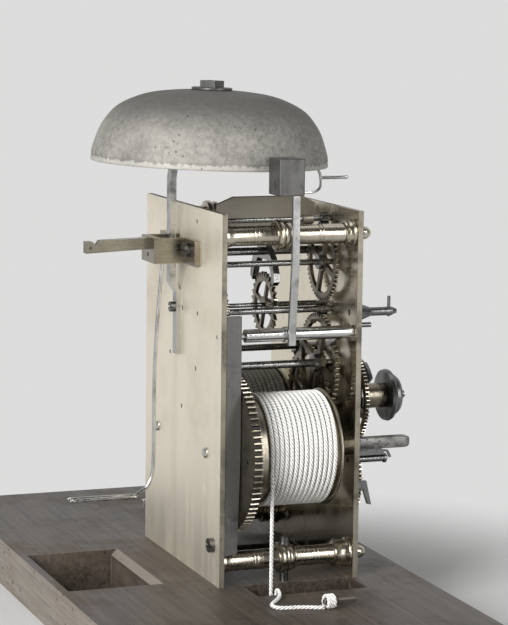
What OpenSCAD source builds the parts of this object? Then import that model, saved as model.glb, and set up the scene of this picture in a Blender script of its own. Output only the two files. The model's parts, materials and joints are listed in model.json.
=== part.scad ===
// Movement of a weight-driven tall case clock on its seat board: two trains between
// brass plates, bell and hammer above, crutch behind, motion work in front.
// Millimetres. +X is right as seen from the dial side, the dial side is -Y, +Z is up.
// X = 0 is the plane of the centre arbor, Y = 0 is midway between the plates and
// Z = 0 is the underside of the seat board.

/* [Seat board] */
// Length of the board along X
board_w = 332; // [290:1:420]
// Reach of the board in front of the mid plane
board_front = 62; // [50:1:90]
// Reach of the board behind the mid plane
board_back = 104; // [104:1:150]
// Thickness of the board
board_t = 22; // [18:0.5:30]
// Width of the strike line's slot
slot_w = 20.4; // [16:0.2:30]
// Width of the going line's slot
go_slot_w = 16; // [12:0.5:24]
// Length of each line slot
slot_len = 49; // [30:1:54]
// Width of the pendulum hole
pend_w = 71; // [50:1:90]
// Depth of the pendulum hole, front to back
pend_d = 42; // [30:1:42]

/* [Plates and pillars] */
// Width of the plates
plate_w = 108.4; // [106:0.2:140]
// Height of the plates
plate_h = 170; // [168:1:210]
// Thickness of the plates
plate_t = 2.5; // [2:0.1:3.5]
// Clear distance between the plates
plate_gap = 63; // [63:0.5:80]
// Distance of the pillars from the mid line
pillar_x = 47.7; // [46:0.1:50]
// Height of the pillars in from the plates' ends
pillar_inset = 10.6; // [10:0.1:14]
// Radius of the pillars' bodies
pillar_r = 4.5; // [3.5:0.1:5]
// Radius of the pillars' knops
knop_r = 7; // [6:0.1:7.2]

/* [Barrels and lines] */
// Distance of the barrel arbors from the mid line
barrel_x = 35; // [34.8:0.1:35.2]
// Radius of the barrels
drum_r = 24; // [18:0.1:24.5]
// Diameter of a line's tube
line_d = 1.9; // [1.2:0.1:2]
// Step from turn to turn on the barrels
line_pitch = 2.35; // [2.35:0.05:2.4]
// Turns wound on each barrel
line_turns = 13.5; // [3.5:1:13.5]
// Side of the winding squares
square_a = 5.3; // [4:0.1:5.4]
// Reach of the winding squares from the mid plane
square_y = 67; // [50:1:80]

/* [Bell and hammer] */
// Radius of the bell's rim
bell_r = 55.6; // [46:0.2:67]
// Height of the bell
bell_h = 34; // [28:0.5:42]
// Wall of the bell
bell_wall = 2; // [1.5:0.1:3]
// Height of the bell's rim above the plates
bell_rise = 18; // [16:0.5:30]
// Height of the hammer head
head_h = 16.5; // [12:0.5:20]
// Radius of the hammer arbor's tube
hammer_r = 3; // [2:0.1:3]

/* [Fly and escapement] */
// Length of the fly vane along the arbor
fly_len = 48; // [30:1:48]
// Half height of the fly vane
fly_r = 12; // [8:0.5:13]
// Pitch radius of the escape wheel's tips
escape_r = 15.75; // [15:0.05:16]
// Diameter of the crutch wire
crutch_d = 1.8; // [1.4:0.1:2.4]

/* [Hidden] */
$fn = 64;
run = 0.05;
shake = 0.2;
clear = 0.3;
back_in = plate_gap / 2;
back_out = back_in + plate_t;
front_in = -plate_gap / 2;
front_out = front_in - plate_t;
plate_top = board_t + plate_h;
rim_z = plate_top + bell_rise;

// Arbor centres as [x, z], their heights counted from the plates' feet
strike_barrel_at = [-barrel_x, board_t + 59];
pin_at = [-19.6, board_t + 95.5];
gather_at = [-21.5, board_t + 121.3];
warn_at = [-21, board_t + 143.3];
fly_at = [-20, board_t + 163.6];
hammer_at = [-48.5, board_t + 114.2];
go_barrel_at = [barrel_x, board_t + 59];
centre_at = [0, board_t + 74.7];
third_at = [17.4, board_t + 97.9];
escape_at = [0, board_t + 121.1];
pallet_at = [0, board_t + 146.7];
motion_dist = 24.07;
minute_at = centre_at + motion_dist * [cos(20), sin(20)];
date_at = [-6.6, board_t + 39.9];
rack_stud_at = [-46, board_t + 53.8];
hook_stud_at = [-45, board_t + 122.5];

// Tooth counts
great_s_n = 78;
pin_n = 56;
gather_n = 49;
warn_n = 48;
great_g_n = 96;
centre_n = 60;
third_n = 56;
leaf8 = 8;
leaf7 = 7;
escape_n = 30;
cannon_n = 36;
minute_leaf = 6;
hour_n = 72;
date_drive_n = 36;
date_n = 72;
ratchet_n = 24;
pin_count = 8;

// Planes of the wheels along Y, tied to the plate that each stands near
great_s_y = back_in - 11.7;
great_s_t = 4;
great_g_y = back_in - 15.5;
great_g_t = 3.4;
gather_y = back_in - 6.1;
gather_t = 1.6;
third_y = back_in - 3.1;
third_t = 1.6;
pin_y = front_in + 3.4;
pin_t = 2;
warn_y = front_in + 2.9;
warn_t = 1.6;
centre_y = front_in + 0.7;
centre_t = 1.5;
escape_y = -7.8;
escape_t = 1.6;
cannon_y = front_out - 4.6;
cannon_t = 1.4;
date_y = front_out - 11.8;
date_t = 1.4;
hour_y = front_out - 18.3;
hour_t = 1.8;
snail_y = front_out - 22.5;
snail_t = 1.5;

// Barrels
rope_r = drum_r + line_d / 2 + 0.28;
cap_r = drum_r + 3;
ratchet_r = 21.5;
drum_len = line_turns * line_pitch + 3.6;
winding_sides = 6;
winding_steps = 24;
pivot_big = 3.8;
pivot_back = 2.4;
pivot_r = 1;
hour_pipe_r = 6;
cannon_pipe_r = 4;
centre_r = 2;
pin_circle = 19.5;
pin_r = 0.9;
tail_len = norm(pin_at - hammer_at) - pin_circle - pin_r - clear;
pallet_r = 1.5;
stand_x = 4.8;
stand_w = 5;
cock_w = 7.6;
bell_at = [8, 18.5];
bell_tilt = 1.6;
head_x = bell_at[0] - sqrt(pow(bell_r, 2) - pow(bell_at[1] - 10, 2)) - 1;

// Seat board's holes, bolts and pin
pend_front = 58;
pend_x = -2.5;
bolt_r = 2;
bolt_head_r = 3;
bolt_head_z = 2.5;
bolt_seat_z = 6;
slot_right = -pillar_x - bolt_head_r - clear - 1.3;
slot_left = slot_right - slot_w;
pin_place = [116, 14.5];
board_pin_r = 0.7;

// Line routes, the slots' back end and the toggle
// line_start is the first turn's distance in front of the back cap
line_start = 2.2;
strike_line_y = great_s_y - 6.6 - line_start;
slot_back = strike_line_y + 7;
toggle_at = [slot_left - 29.6, board_t + 3.5];
toggle_r = 1.5;
knot_y = strike_line_y - 9.9;

// Screws, dial feet and studs; a stud is [place, shank radius]
cock_screw_x = 15.5;
cock_screw_z = board_t + 150;
stand_screw_z = board_t + 121.2;
spring_screw_at = [-45.7, board_t + 18.3];
dial_feet = [[-30, board_t + 12], [30, board_t + 12], [-30, plate_top - 14], [30, plate_top - 14]];
dial_stud_list = [[minute_at, 1.2], [date_at, 1.2], [rack_stud_at, 1.2], [hook_stud_at, 1.5],
  [hook_stud_at - [0, 6], 0.9]];

// Cock, bell stand, hammer and crutch
cock_z = board_t + 143.3;
cock_h = 11.8;
stand_joggle = board_t + 128;
stand_top = rim_z + bell_h - bell_wall - 5;
arm_y0 = -1.95;
arm_y1 = 1.55;
arm_top = rim_z - 9.8;
head_y0 = -2;
head_y1 = 10;
head_w = 14.1;
arm_x = min(-pillar_x - knop_r - 0.5, head_x - 7.3);
crutch_y = back_out + 10.2;
click_at = [-27.4, 0];
snail_r = 19.7;
snail_step = 1.15;

function module_of(a, b, n, p) = 2 * norm(b - a) / (n + p);
function toward(a, b) = atan2(b[1] - a[1], b[0] - a[0]);
function polar(r, a) = [r * cos(a), r * sin(a)];
function unit(v) = v / norm(v);

// Wheel teeth: one tooth centred on the angle ph
function wheel_points(n, m, ph) =
  let(r = n * m / 2, w = 90 / n)
  [for (i = [0:n - 1])
    for (p = [[-1.15, -1], [0, -0.9], [0.45, -0.62], [0.82, -0.2],
              [0.82, 0.2], [0.45, 0.62], [0, 0.9], [-1.15, 1]])
      polar(r + p[0] * m, ph + i * 360 / n + p[1] * w)];

// Pinion leaves: one gap centred on the angle ph
function pinion_points(n, m, ph) =
  let(r = n * m / 2, w = 90 / n)
  [for (i = [0:n - 1])
    for (p = [[-1.25, -0.62], [0, -0.62], [0.5, -0.3],
              [0.5, 0.3], [0, 0.62], [-1.25, 0.62]])
      polar(r + p[0] * m, ph + (i + 0.5) * 360 / n + p[1] * w)];

function saw_points(n, tip, root, lean) =
  [for (i = [0:n - 1])
    for (p = [[root, 0], [tip, lean], [tip, lean + 0.12]])
      polar(p[0], (i + p[1]) * 360 / n)];

// Closed outline of a strip of width w along the open path p
function strip(p, w) =
  let(n = len(p),
      side = [for (i = [0:n - 1])
        let(d = unit(p[min(i + 1, n - 1)] - p[max(i - 1, 0)])) [-d[1], d[0]] * w / 2])
  concat([for (i = [0:n - 1]) p[i] + side[i]], [for (i = [n - 1:-1:0]) p[i] - side[i]]);

// Cylinder along Y
module rod(at, y0, y1, r) {
  translate([at[0], y1, at[1]]) rotate([90, 0, 0]) cylinder(r = r, h = y1 - y0);
}

// Hole along Y through the faces y0 and y1
module bore(at, y0, y1, r) {
  rod(at, y0 - 1, y1 + 1, r);
}

// Shaft along Y from stacked steps [y0, y1, r]
module shaft(at, steps) {
  outline = concat([[0, steps[0][0]]],
                   [for (s = steps) for (q = [[s[2], s[0]], [s[2], s[1]]]) q],
                   [[0, steps[len(steps) - 1][1]]]);
  turned(at, outline);
}

// Solid turned about Y from an outline of [radius, y]
module turned(at, outline) {
  translate([at[0], 0, at[1]]) rotate([-90, 0, 0]) rotate_extrude() polygon(outline);
}

// Flat piece in an XZ plane, from y to y + t
module flat(at, y, t) {
  translate([at[0], y + t, at[1]]) rotate([90, 0, 0]) linear_extrude(t) children();
}

// Flat piece in a YZ plane, from x to x + t, its outline given as [y, z]
module side_flat(x, t) {
  translate([x, 0, 0]) rotate([90, 0, 90]) linear_extrude(t) children();
}

// Wheel with four arms
module wheel(at, y, t, n, m, ph, hub, hole) {
  root = n * m / 2 - 1.15 * m;
  flat(at, y, t) difference() {
    polygon(wheel_points(n, m, ph));
    circle(hole);
    difference() {
      circle(root - 2.4);
      circle(hub);
      for (a = [0, 90]) rotate(a + 20) square([2 * root, 2.6], center = true);
    }
  }
}

module solid_wheel(at, y, t, n, m, ph, hole) {
  flat(at, y, t) difference() {
    polygon(wheel_points(n, m, ph));
    circle(hole);
  }
}

module pinion(at, y, t, n, m, ph) {
  flat(at, y, t) polygon(pinion_points(n, m, ph));
}

// Slotted screw head along Y, its slot on the side that dir points to
module screw_head(at, y, r, t, dir) {
  y0 = dir > 0 ? y : y - t;
  difference() {
    rod(at, y0, y0 + t, r);
    translate([at[0], dir > 0 ? y + t : y - t, at[1]]) cube([2 * r + 1, t * 0.8, 0.8], center = true);
  }
}

// Slot from x to x + w for a line, worn to a slope at its back end
module slot_cut(x, w) {
  translate([x, slot_back - slot_len, -1]) cube([w, slot_len, board_t + 2]);
  side_flat(x, w)
    polygon([[slot_back - 1, board_t + 1], [slot_back + 5, board_t + 1], [slot_back + 4, board_t],
      [slot_back - 1, board_t - 5]]);
}

module seat_board() {
  color("saddlebrown") difference() {
    translate([-board_w / 2, -board_front, 0]) cube([board_w, board_front + board_back, board_t]);
    slot_cut(slot_left, slot_w);
    slot_cut(barrel_x - rope_r + 4 - go_slot_w / 2, go_slot_w);
    translate([pend_x - pend_w / 2, pend_front, -1]) cube([pend_w, pend_d, board_t + 2]);
    side_flat(pend_x - pend_w / 2, pend_w)
      polygon([[pend_front + 1, board_t + 1], [pend_front - 4, board_t + 1],
               [pend_front - 3, board_t], [pend_front + 1, board_t - 4]]);
    for (x = [-pillar_x, pillar_x]) {
      translate([x, 0, -1]) cylinder(r = bolt_r + run, h = board_t + 2);
      translate([x, 0, -1]) cylinder(r = bolt_head_r + clear, h = bolt_seat_z + 1);
    }
    translate([pin_place[0], pin_place[1], board_t - 4]) cylinder(r = board_pin_r + run, h = 5);
  }
}

// Small pin standing in the board beside the movement
module board_pin() {
  color("lightgray") translate([pin_place[0], pin_place[1], board_t - 4]) {
    cylinder(r = board_pin_r, h = 7);
    translate([0, 0, 7]) cylinder(r = 1.5, h = 1);
  }
}

// Bolts from under the board up through the lower pillars' knops
module seat_bolts() {
  top = board_t + pillar_inset + knop_r + 2.6;
  color("dimgray") for (x = [-pillar_x, pillar_x]) translate([x, 0, 0]) {
    translate([0, 0, bolt_seat_z]) cylinder(r = bolt_r, h = top - bolt_seat_z);
    translate([0, 0, bolt_head_z]) cylinder(r = bolt_head_r, h = bolt_seat_z - bolt_head_z);
  }
}

small_pivots = [pin_at, gather_at, warn_at, fly_at, hammer_at, third_at, escape_at];

function pillar_ends() = [for (x = [-pillar_x, pillar_x])
  for (z = [board_t + pillar_inset, plate_top - pillar_inset]) [x, z]];

module plate(y) {
  translate([-plate_w / 2, y, board_t]) cube([plate_w, plate_t, plate_h]);
}

module back_plate() {
  color("khaki") difference() {
    plate(back_in);
    for (p = pillar_ends()) bore(p, back_in, back_out, 3 + run);
    for (p = small_pivots) bore(p, back_in, back_out, pivot_r + run);
    bore(centre_at, back_in, back_out, pivot_r + run);
    for (p = [strike_barrel_at, go_barrel_at]) bore(p, back_in, back_out, pivot_back + run);
    bore(pallet_at, back_in, back_out, 2.2);
    for (x = [-cock_screw_x, cock_screw_x]) bore([x, cock_screw_z], back_in, back_out, 1.5 + run);
    bore([stand_x, stand_screw_z], back_in, back_out, 1.3 + run);
    bore(spring_screw_at, back_in, back_out, 1.3 + run);
  }
}

module front_plate() {
  color("khaki") difference() {
    plate(front_out);
    for (p = pillar_ends()) bore(p, front_out, front_in, 3 + run);
    for (p = small_pivots) bore(p, front_out, front_in, pivot_r + run);
    bore(centre_at, front_out, front_in, centre_r + run);
    bore(pallet_at, front_out, front_in, pivot_r + run);
    for (p = [strike_barrel_at, go_barrel_at]) bore(p, front_out, front_in, pivot_big + run);
    for (p = dial_stud_list) bore(p[0], front_out, front_in, p[1] + run);
    for (p = dial_feet) bore(p, front_out, front_in, 2.2);
  }
}

// Turned pillar; its knop near knop_y is a small ring, a bead and a flat-backed flange, and its
// front part, front_len long, widens to front_r at the plate
module pillar(at, knop_y, front_len, front_r) {
  k0 = knop_y - 3.6;
  f0 = front_in + front_len;
  turned(at, [
    [0, front_out - 6], [1.2, front_out - 6], [2.6, front_out - 4.6], [3, front_out - 3.4],
    [3, front_in], [front_r, front_in], [front_r, front_in + 1.4], [front_r - 0.8, front_in + 1.8],
    [front_r - 1, f0 - 1.6], [front_r - 0.6, f0 - 1], [front_r - 0.9, f0 - 0.2], [pillar_r, f0],
    [pillar_r, k0 - 1.2], [pillar_r + 1, k0 - 1], [pillar_r + 1, k0], [knop_r - 1.2, k0 + 0.4],
    [knop_r - 0.4, k0 + 1.4], [knop_r - 0.4, k0 + 3], [knop_r - 1.2, k0 + 4], [knop_r, k0 + 4.4],
    [knop_r, k0 + 6.8], [knop_r - 0.4, k0 + 7.2], [pillar_r, k0 + 7.2],
    [pillar_r, back_in - 5], [5.2, back_in - 1.5], [5.2, back_in],
    [3, back_in], [3, back_out], [0, back_out]]);
}

module pillars() {
  color("goldenrod") difference() {
    for (p = pillar_ends())
      if (p[1] > board_t + plate_h / 2) pillar(p, 3, 5.2, 6.3);
      else pillar(p, 0, 8, 7);
    for (x = [-pillar_x, pillar_x]) translate([x, 0, 0]) cylinder(r = bolt_r + run, h = board_t + 30);
    for (p = pillar_ends()) translate([p[0] - 8, front_out - 1.4, p[1]]) rotate([0, 90, 0])
      cylinder(r = 0.8 + run, h = 16);
  }
}

// Cross pins that hold the front plate on the pillars
module pillar_pins() {
  color("dimgray") for (p = pillar_ends()) translate([p[0] - 5.5, front_out - 1.4, p[1]])
    rotate([0, 90, 0]) cylinder(r = 0.8, h = 11);
}

// Cock that carries the pallet arbor, with the slit arm for the pendulum's spring
module back_cock() {
  arm_y = back_out + 17;
  color("goldenrod") difference() {
    union() {
      for (s = [-1, 1]) {
        translate([s > 0 ? cock_w : -cock_w - 17.4, back_out, cock_z]) cube([17.4, 2.8, cock_h]);
        translate([s > 0 ? cock_w : -cock_w - 1.9, back_out, cock_z]) cube([1.9, 17, cock_h]);
      }
      translate([-cock_w - 1.9, arm_y - 3.5, cock_z]) cube([2 * cock_w + 3.8, 3.5, cock_h]);
      side_flat(-2.5, 5) polygon([[arm_y - 1, cock_z + 6.2], [arm_y - 1, cock_z + 11.4],
        [arm_y + 23.6, cock_z + 10.6], [arm_y + 25.4, cock_z + 8.2], [arm_y + 27.4, cock_z + 10.2],
        [arm_y + 30.4, cock_z + 10.2], [arm_y + 30.4, cock_z + 4.8]]);
    }
    translate([-0.35, arm_y + 20, cock_z]) cube([0.7, 12, cock_h]);
    translate([-4, arm_y + 28.6, cock_z + 7.4]) rotate([0, 90, 0]) cylinder(r = 0.7, h = 8);
    bore(pallet_at, arm_y - 3.5, arm_y, pivot_r + run);
    for (x = [-cock_screw_x, cock_screw_x])
      bore([x, cock_screw_z], back_out, back_out + 2.8, 1.5 + run);
  }
}

module cock_screws() {
  color("dimgray") for (x = [-cock_screw_x, cock_screw_x]) {
    screw_head([x, cock_screw_z], back_out + 2.8, 3.3, 2.5, 1);
    rod([x, cock_screw_z], back_in + 0.2, back_out + 2.8, 1.5);
  }
}

module bell_stand() {
  back = back_out + 4;
  path = [[back, stand_joggle + 5], [back, rim_z - 6], [back - 1.6, rim_z + 4],
    [back - 5, rim_z + 13], [back - 10, rim_z + 21], [bell_at[1] + 4, stand_top - 1],
    [bell_at[1] - 4, stand_top]];
  color("silver") difference() {
    union() {
      side_flat(stand_x - stand_w / 2, stand_w) polygon([[back_out, board_t + 99],
        [back_out + 2.2, board_t + 99], [back_out + 2.2, stand_joggle], [back + 1.5, stand_joggle + 5],
        [back + 1.5, stand_joggle + 7], [back - 1.5, stand_joggle + 7],
        [back - 1.5, stand_joggle + 5], [back_out, stand_joggle + 1]]);
      side_flat(stand_x - stand_w / 2, stand_w) polygon(strip(path, 3));
      bell_frame() {
        translate([0, 0, bell_h - bell_wall - 6]) cylinder(r = 5, h = 6);
        translate([0, 0, bell_h - bell_wall - 1]) cylinder(r = 2.6, h = 7.2);
      }
    }
    bore([stand_x, stand_screw_z], back_out, back_out + 2.2, 1.3 + run);
  }
}

module stand_screw() {
  at = [stand_x, stand_screw_z];
  color("dimgray") screw_head(at, back_out + 2.2, 2.4, 2.4, 1);
  color("dimgray") rod(at, back_in + 0.2, back_out + 2.2, 1.3);
}

// Frame of the bell: origin in the middle of its rim, tipped forward
module bell_frame() {
  translate([bell_at[0], bell_at[1], rim_z]) rotate([bell_tilt, 0, 0]) children();
}

bell_profile = [[1, 0], [0.993, 0.143], [0.968, 0.286], [0.928, 0.457], [0.872, 0.6],
  [0.791, 0.743], [0.665, 0.857], [0.504, 0.943], [0.288, 0.989], [0.1, 1]];

module bell() {
  outer = [for (p = bell_profile) [p[0] * bell_r, p[1] * bell_h]];
  n = len(outer);
  inner = [for (i = [n - 1:-1:0])
    let(d = unit(outer[min(i + 1, n - 1)] - outer[max(i - 1, 0)]))
    [outer[i][0] - d[1] * bell_wall, i == 0 ? 0 : outer[i][1] + d[0] * bell_wall]];
  hole = 2.6 + run;
  color("rosybrown") bell_frame() rotate_extrude()
    polygon(concat(outer, [[hole, bell_h], [hole, bell_h - bell_wall]], inner));
}

module bell_nut() {
  color("dimgray") bell_frame() translate([0, 0, bell_h]) difference() {
    union() {
      cylinder(r = 9.5, h = 1.2);
      translate([0, 0, 1.2]) rotate(38) linear_extrude(3.2) square(8.2, center = true);
    }
    translate([0, 0, -1]) cylinder(r = 2.6 + run, h = 8);
  }
}

// Leaf spring that stands behind the hammer arbor, with a foot on the back plate
module hammer_spring() {
  color("dimgray") difference() {
    union() {
      side_flat(-53.9, 2.3) polygon([[back_in, board_t + 15], [back_in, board_t + 124],
        [back_in - 7.4, board_t + 124], [back_in - 7.4, board_t + 60], [back_in - 6.2, board_t + 15]]);
      translate([-53.9, back_in - 2.5, board_t + 14.5]) cube([12.4, 2.5, 10]);
    }
    rod([-pillar_x, board_t + pillar_inset], back_in - 10, back_in + 1, 5.2 + clear);
    bore(spring_screw_at, back_in - 2.5, back_in, 1.3 + run);
  }
}

module spring_screw() {
  color("dimgray") screw_head(spring_screw_at, back_out, 3.3, 2.4, 1);
  color("dimgray") rod(spring_screw_at, back_in - 2, back_out, 1.3);
}

module dial_studs() {
  y = front_out;
  color("gray") difference() {
    union() {
      turned(hook_stud_at, [[0, y - 20.8], [1.1, y - 20.8], [2, y - 18.4], [2, y - 8],
        [4.9, y], [1.5, y], [1.5, front_in - 0.1], [0, front_in - 0.1]]);
      turned(hook_stud_at - [0, 6], [[0, y - 8.4], [1.15, y - 8.2], [1.15, y], [0.9, y],
        [0.9, front_in - 0.1], [0, front_in - 0.1]]);
      turned(rack_stud_at, [[0, y - 17], [1.5, y - 17], [2.2, y - 16.4], [2.2, y - 15.3],
        [1.6, y - 15.3], [1.6, y], [1.2, y], [1.2, front_in - 0.1], [0, front_in - 0.1]]);
      turned(minute_at, [[0, hour_y - 1], [1.2, hour_y - 1], [1.2, y - 1], [2.6, y - 1],
        [2.6, y], [1.2, y], [1.2, front_in - 0.1], [0, front_in - 0.1]]);
      turned(date_at, [[0, date_y - 2], [1.2, date_y - 2], [1.2, date_y + date_t + 0.2],
        [2.4, date_y + date_t + 0.4], [2.4, y], [1.2, y], [1.2, front_in - 0.1], [0, front_in - 0.1]]);
    }
    translate([hook_stud_at[0], y - 17.2, hook_stud_at[1] - 4]) cylinder(r = 0.75 + run, h = 8);
  }
}

module stud_pin() {
  color("dimgray") translate([hook_stud_at[0], front_out - 17.2, hook_stud_at[1] - 2.4])
    cylinder(r = 0.75, h = 9.4);
}

// Steel strip over the rack stud, and the cranked strip below it
module dial_springs() {
  x = rack_stud_at[0];
  z = rack_stud_at[1] + 1.6 + clear;
  y = front_out;
  color("dimgray") {
    translate([x - 1.5, y - 15.1, z]) cube([3, 15.1, 2.2]);
    side_flat(x - 0.8, 1.6)
      polygon(strip([[y - 15, z + 1.6], [y - 17.4, z + 1.4], [y - 18.9, z - 1.6]], 1));
    side_flat(-41, 2) polygon([[y, board_t + 42.4], [y - 9.4, board_t + 42.2],
      [y - 12, board_t + 30.8], [y - 10.2, board_t + 31], [y - 7.8, board_t + 38.4],
      [y, board_t + 38.6]]);
  }
}

great_s_m = module_of(strike_barrel_at, pin_at, great_s_n, leaf8);
great_g_m = module_of(go_barrel_at, centre_at, great_g_n, leaf8);

// Great wheel, free on its barrel's arbor
module great_wheel(at, y, t, n, m, ph) {
  difference() {
    solid_wheel(at, y, t, n, m, ph, 4.2 + run);
    bore([at[0] + click_at[0], at[1]], y, y + t, 1 + run);
  }
}

module strike_great_wheel() {
  color("gold") great_wheel(strike_barrel_at, great_s_y, great_s_t, great_s_n, great_s_m,
    toward(strike_barrel_at, pin_at));
}

module going_great_wheel() {
  color("gold") great_wheel(go_barrel_at, great_g_y, great_g_t, great_g_n, great_g_m,
    toward(go_barrel_at, centre_at));
}

// Click, its screw and its spring on the front face of a great wheel
module click(at, y) {
  place = [at[0] + click_at[0], at[1]];
  flat(place, y - 2.1, 1.9) difference() {
    polygon([[-2.6, -1.6], [-0.5, -2.9], [1.9, -2.2], [3, 1], [5.6, 6.4], [5.3, 7.6], [2.6, 5.4],
      [-1.6, 2.6], [-2.7, 0.8]]);
    circle(1 + run);
  }
  rod(place, y - 2.1, y + 1, 1);
  rod(place, y - 2.7, y - 2.1, 1.8);
}

module strike_click() {
  color("dimgray") click(strike_barrel_at, great_s_y);
}

module going_click() {
  color("dimgray") click(go_barrel_at, great_g_y);
}

// Arbor, drum, caps, ratchet, winding square, and the block that the line's end butts on.
// y is the great wheel's front face and t its thickness.
module barrel(at, y, t) {
  drum_y = y - 6.6;
  cap_y = drum_y - drum_len;
  end_y = drum_y - line_start - line_pitch * line_turns;
  shaft(at, [[front_out - 1.6, front_in + shake, pivot_big], [front_in + shake, cap_y - 1.2, 5],
    [cap_y - 1.2, cap_y, cap_r], [cap_y, drum_y, drum_r], [drum_y, y - 2.8, cap_r],
    [y - 2.8, y - shake, 6], [y - shake, y + t + shake, 4.2],
    [y + t + shake, y + t + 1.6, 9], [y + t + 1.6, back_in - shake, 3.4],
    [back_in - shake, back_out + 1.2, pivot_back]]);
  flat(at, y - 2.3, 1.8) polygon(saw_points(ratchet_n, ratchet_r, ratchet_r - 2.2, 0.85));
  flat(at, -square_y, square_y + front_out - 1.5) square(square_a, center = true);
  translate([at[0], end_y, at[1]]) rotate([0, 360 * line_turns - 180, 0])
    translate([drum_r - 1, -1.15, -line_d - 0.02 - 3]) cube([2.9, 2.3, 3]);
}

module strike_barrel() {
  color("peru") barrel(strike_barrel_at, great_s_y, great_s_t);
}

module going_barrel() {
  color("peru") barrel(go_barrel_at, great_g_y, great_g_t);
}

// Centre line of a winding about Y: leaves downward on the left, then turns forward
function winding_path(at, y) =
  let(n = line_turns * winding_steps,
      turns = [for (i = [0:n])
        let(a = 180 - i * 360 / winding_steps)
        [at[0] + rope_r * cos(a), y - line_start - i * line_pitch / winding_steps,
         at[1] + rope_r * sin(a)]])
  concat([turns[0] - [0, 0, line_d]], turns,
         [turns[n] + line_d * [sin(180 - 360 * line_turns), 0, -cos(180 - 360 * line_turns)]]);

function tangent(p, i) = unit(p[min(i + 1, len(p) - 1)] - p[max(i - 1, 0)]);

// Tube of radius r and k sides along the path p, as a list of [points, faces]
function tube(p, r, k, side) =
  let(n = len(p),
      frames = [for (i = 0, u = unit(cross(tangent(p, 0), cross(side, tangent(p, 0)))); i < n; i = i + 1,
        u = i < n ? unit(u - (u * tangent(p, i)) * tangent(p, i)) : u) u],
      pts = [for (i = [0:n - 1]) for (j = [0:k - 1])
        let(v = cross(tangent(p, i), frames[i]))
        p[i] + r * (cos(j * 360 / k) * frames[i] + sin(j * 360 / k) * v)],
      sides = [for (i = [0:n - 2]) for (j = [0:k - 1])
        for (f = [[i * k + j, i * k + (j + 1) % k, (i + 1) * k + j],
                  [i * k + (j + 1) % k, (i + 1) * k + (j + 1) % k, (i + 1) * k + j]]) f],
      first = [for (j = [1:k - 2]) [0, j + 1, j]],
      last = [for (j = [1:k - 2]) [(n - 1) * k, (n - 1) * k + j, (n - 1) * k + j + 1]])
  [pts, concat([for (f = concat(sides, first, last)) [f[0], f[2], f[1]]])];

// Least gap between neighbouring turns of a winding
function winding_gap(p) = min([for (i = [0:len(p) - 1 - 12])
  for (j = [i + 12:min(i + 36, len(p) - 1)]) norm(p[i] - p[j])]) - line_d;

module winding(at, y) {
  path = winding_path(at, y);
  mesh = tube(path, line_d / 2, winding_sides, [1, 0, 0]);
  polyhedron(points = mesh[0], faces = mesh[1]);
}

echo("least gap in a winding", winding_gap(winding_path(strike_barrel_at, great_s_y - 6.6)));

module strike_winding() {
  color("white") winding(strike_barrel_at, great_s_y - 6.6);
}

module going_winding() {
  color("white") winding(go_barrel_at, great_g_y - 6.6);
}

// Route of the strike line through its slot and over the board to the toggle: X counted from
// the slot's outer edge, Y from the line's first turn, Z from the board's top
strike_route = [[12, 0, -7.6], [10.1, 0.2, -11.2], [7.5, 0.4, -12.4], [4.9, 0.6, -11],
  [3.1, 0.9, -7.8], [2.5, 1.2, -4], [2, 1.5, -1], [0.5, 1.9, 1.8], [-2.5, 2.4, 2.6], [-5.5, 2.9, 1.8],
  [-9, 4.6, 1.2], [-13, 7.6, 1], [-17, 10.6, 1], [-21, 12.2, 1], [-24.2, 10.8, 1], [-25.4, 7, 1],
  [-26, 2.6, 1], [-27.2, -1.6, 1], [-28.8, -5, 1], [-29.6, -7.4, 1], [-29.6, -8.9, 1]];

module strike_line() {
  x = strike_barrel_at[0] - rope_r;
  top = strike_barrel_at[1] - line_d;
  path = concat([for (z = [top, top - 4, board_t + 40, board_t + 20, board_t, board_t - 4])
      [x, strike_line_y, z]],
    [for (p = strike_route) [slot_left + p[0], strike_line_y + p[1], board_t + p[2]]]);
  mesh = tube(path, line_d / 2, 8, [1, 0, 0]);
  color("white") polyhedron(points = mesh[0], faces = mesh[1]);
}

// Turns of the line round the toggle
module line_knot() {
  color("white") for (y = [knot_y, knot_y - 2])
    translate([toggle_at[0], y, toggle_at[1]]) rotate([90, 0, 0]) rotate_extrude()
      translate([toggle_r + run + line_d / 2, 0]) circle(line_d / 2);
}

module line_toggle() {
  color("black") rod(toggle_at, strike_line_y - 24, strike_line_y - 8.5, toggle_r);
}

module going_line() {
  x = go_barrel_at[0] - rope_r;
  y = great_g_y - 6.6 - line_start;
  path = [for (z = [go_barrel_at[1] - line_d, board_t + 40, board_t, board_t - 16]) [x, y, z]];
  mesh = tube(path, line_d / 2, 8, [1, 0, 0]);
  color("white") polyhedron(points = mesh[0], faces = mesh[1]);
}

pin_m = module_of(pin_at, gather_at, pin_n, leaf7);
gather_m = module_of(gather_at, warn_at, gather_n, leaf7);
warn_m = module_of(warn_at, fly_at, warn_n, leaf7);

module pin_arbor() {
  color("gray") {
    shaft(pin_at, [[front_out + 0.2, front_in + shake, pivot_r], [front_in + shake, pin_y, 1.5],
      [pin_y, pin_y + pin_t, 2.4], [pin_y + pin_t, pin_y + pin_t + 2.4, 4.4],
      [pin_y + pin_t + 2.4, great_s_y - 0.8, 1.9],
      [great_s_y - 0.8, great_s_y + great_s_t + 0.8, 2],
      [great_s_y + great_s_t + 0.8, back_in - shake, 1.9], [back_in - shake, back_out - 0.2, pivot_r]]);
    pinion(pin_at, great_s_y - 0.7, great_s_t + 1.4, leaf8, great_s_m, toward(pin_at, strike_barrel_at));
  }
}

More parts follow.
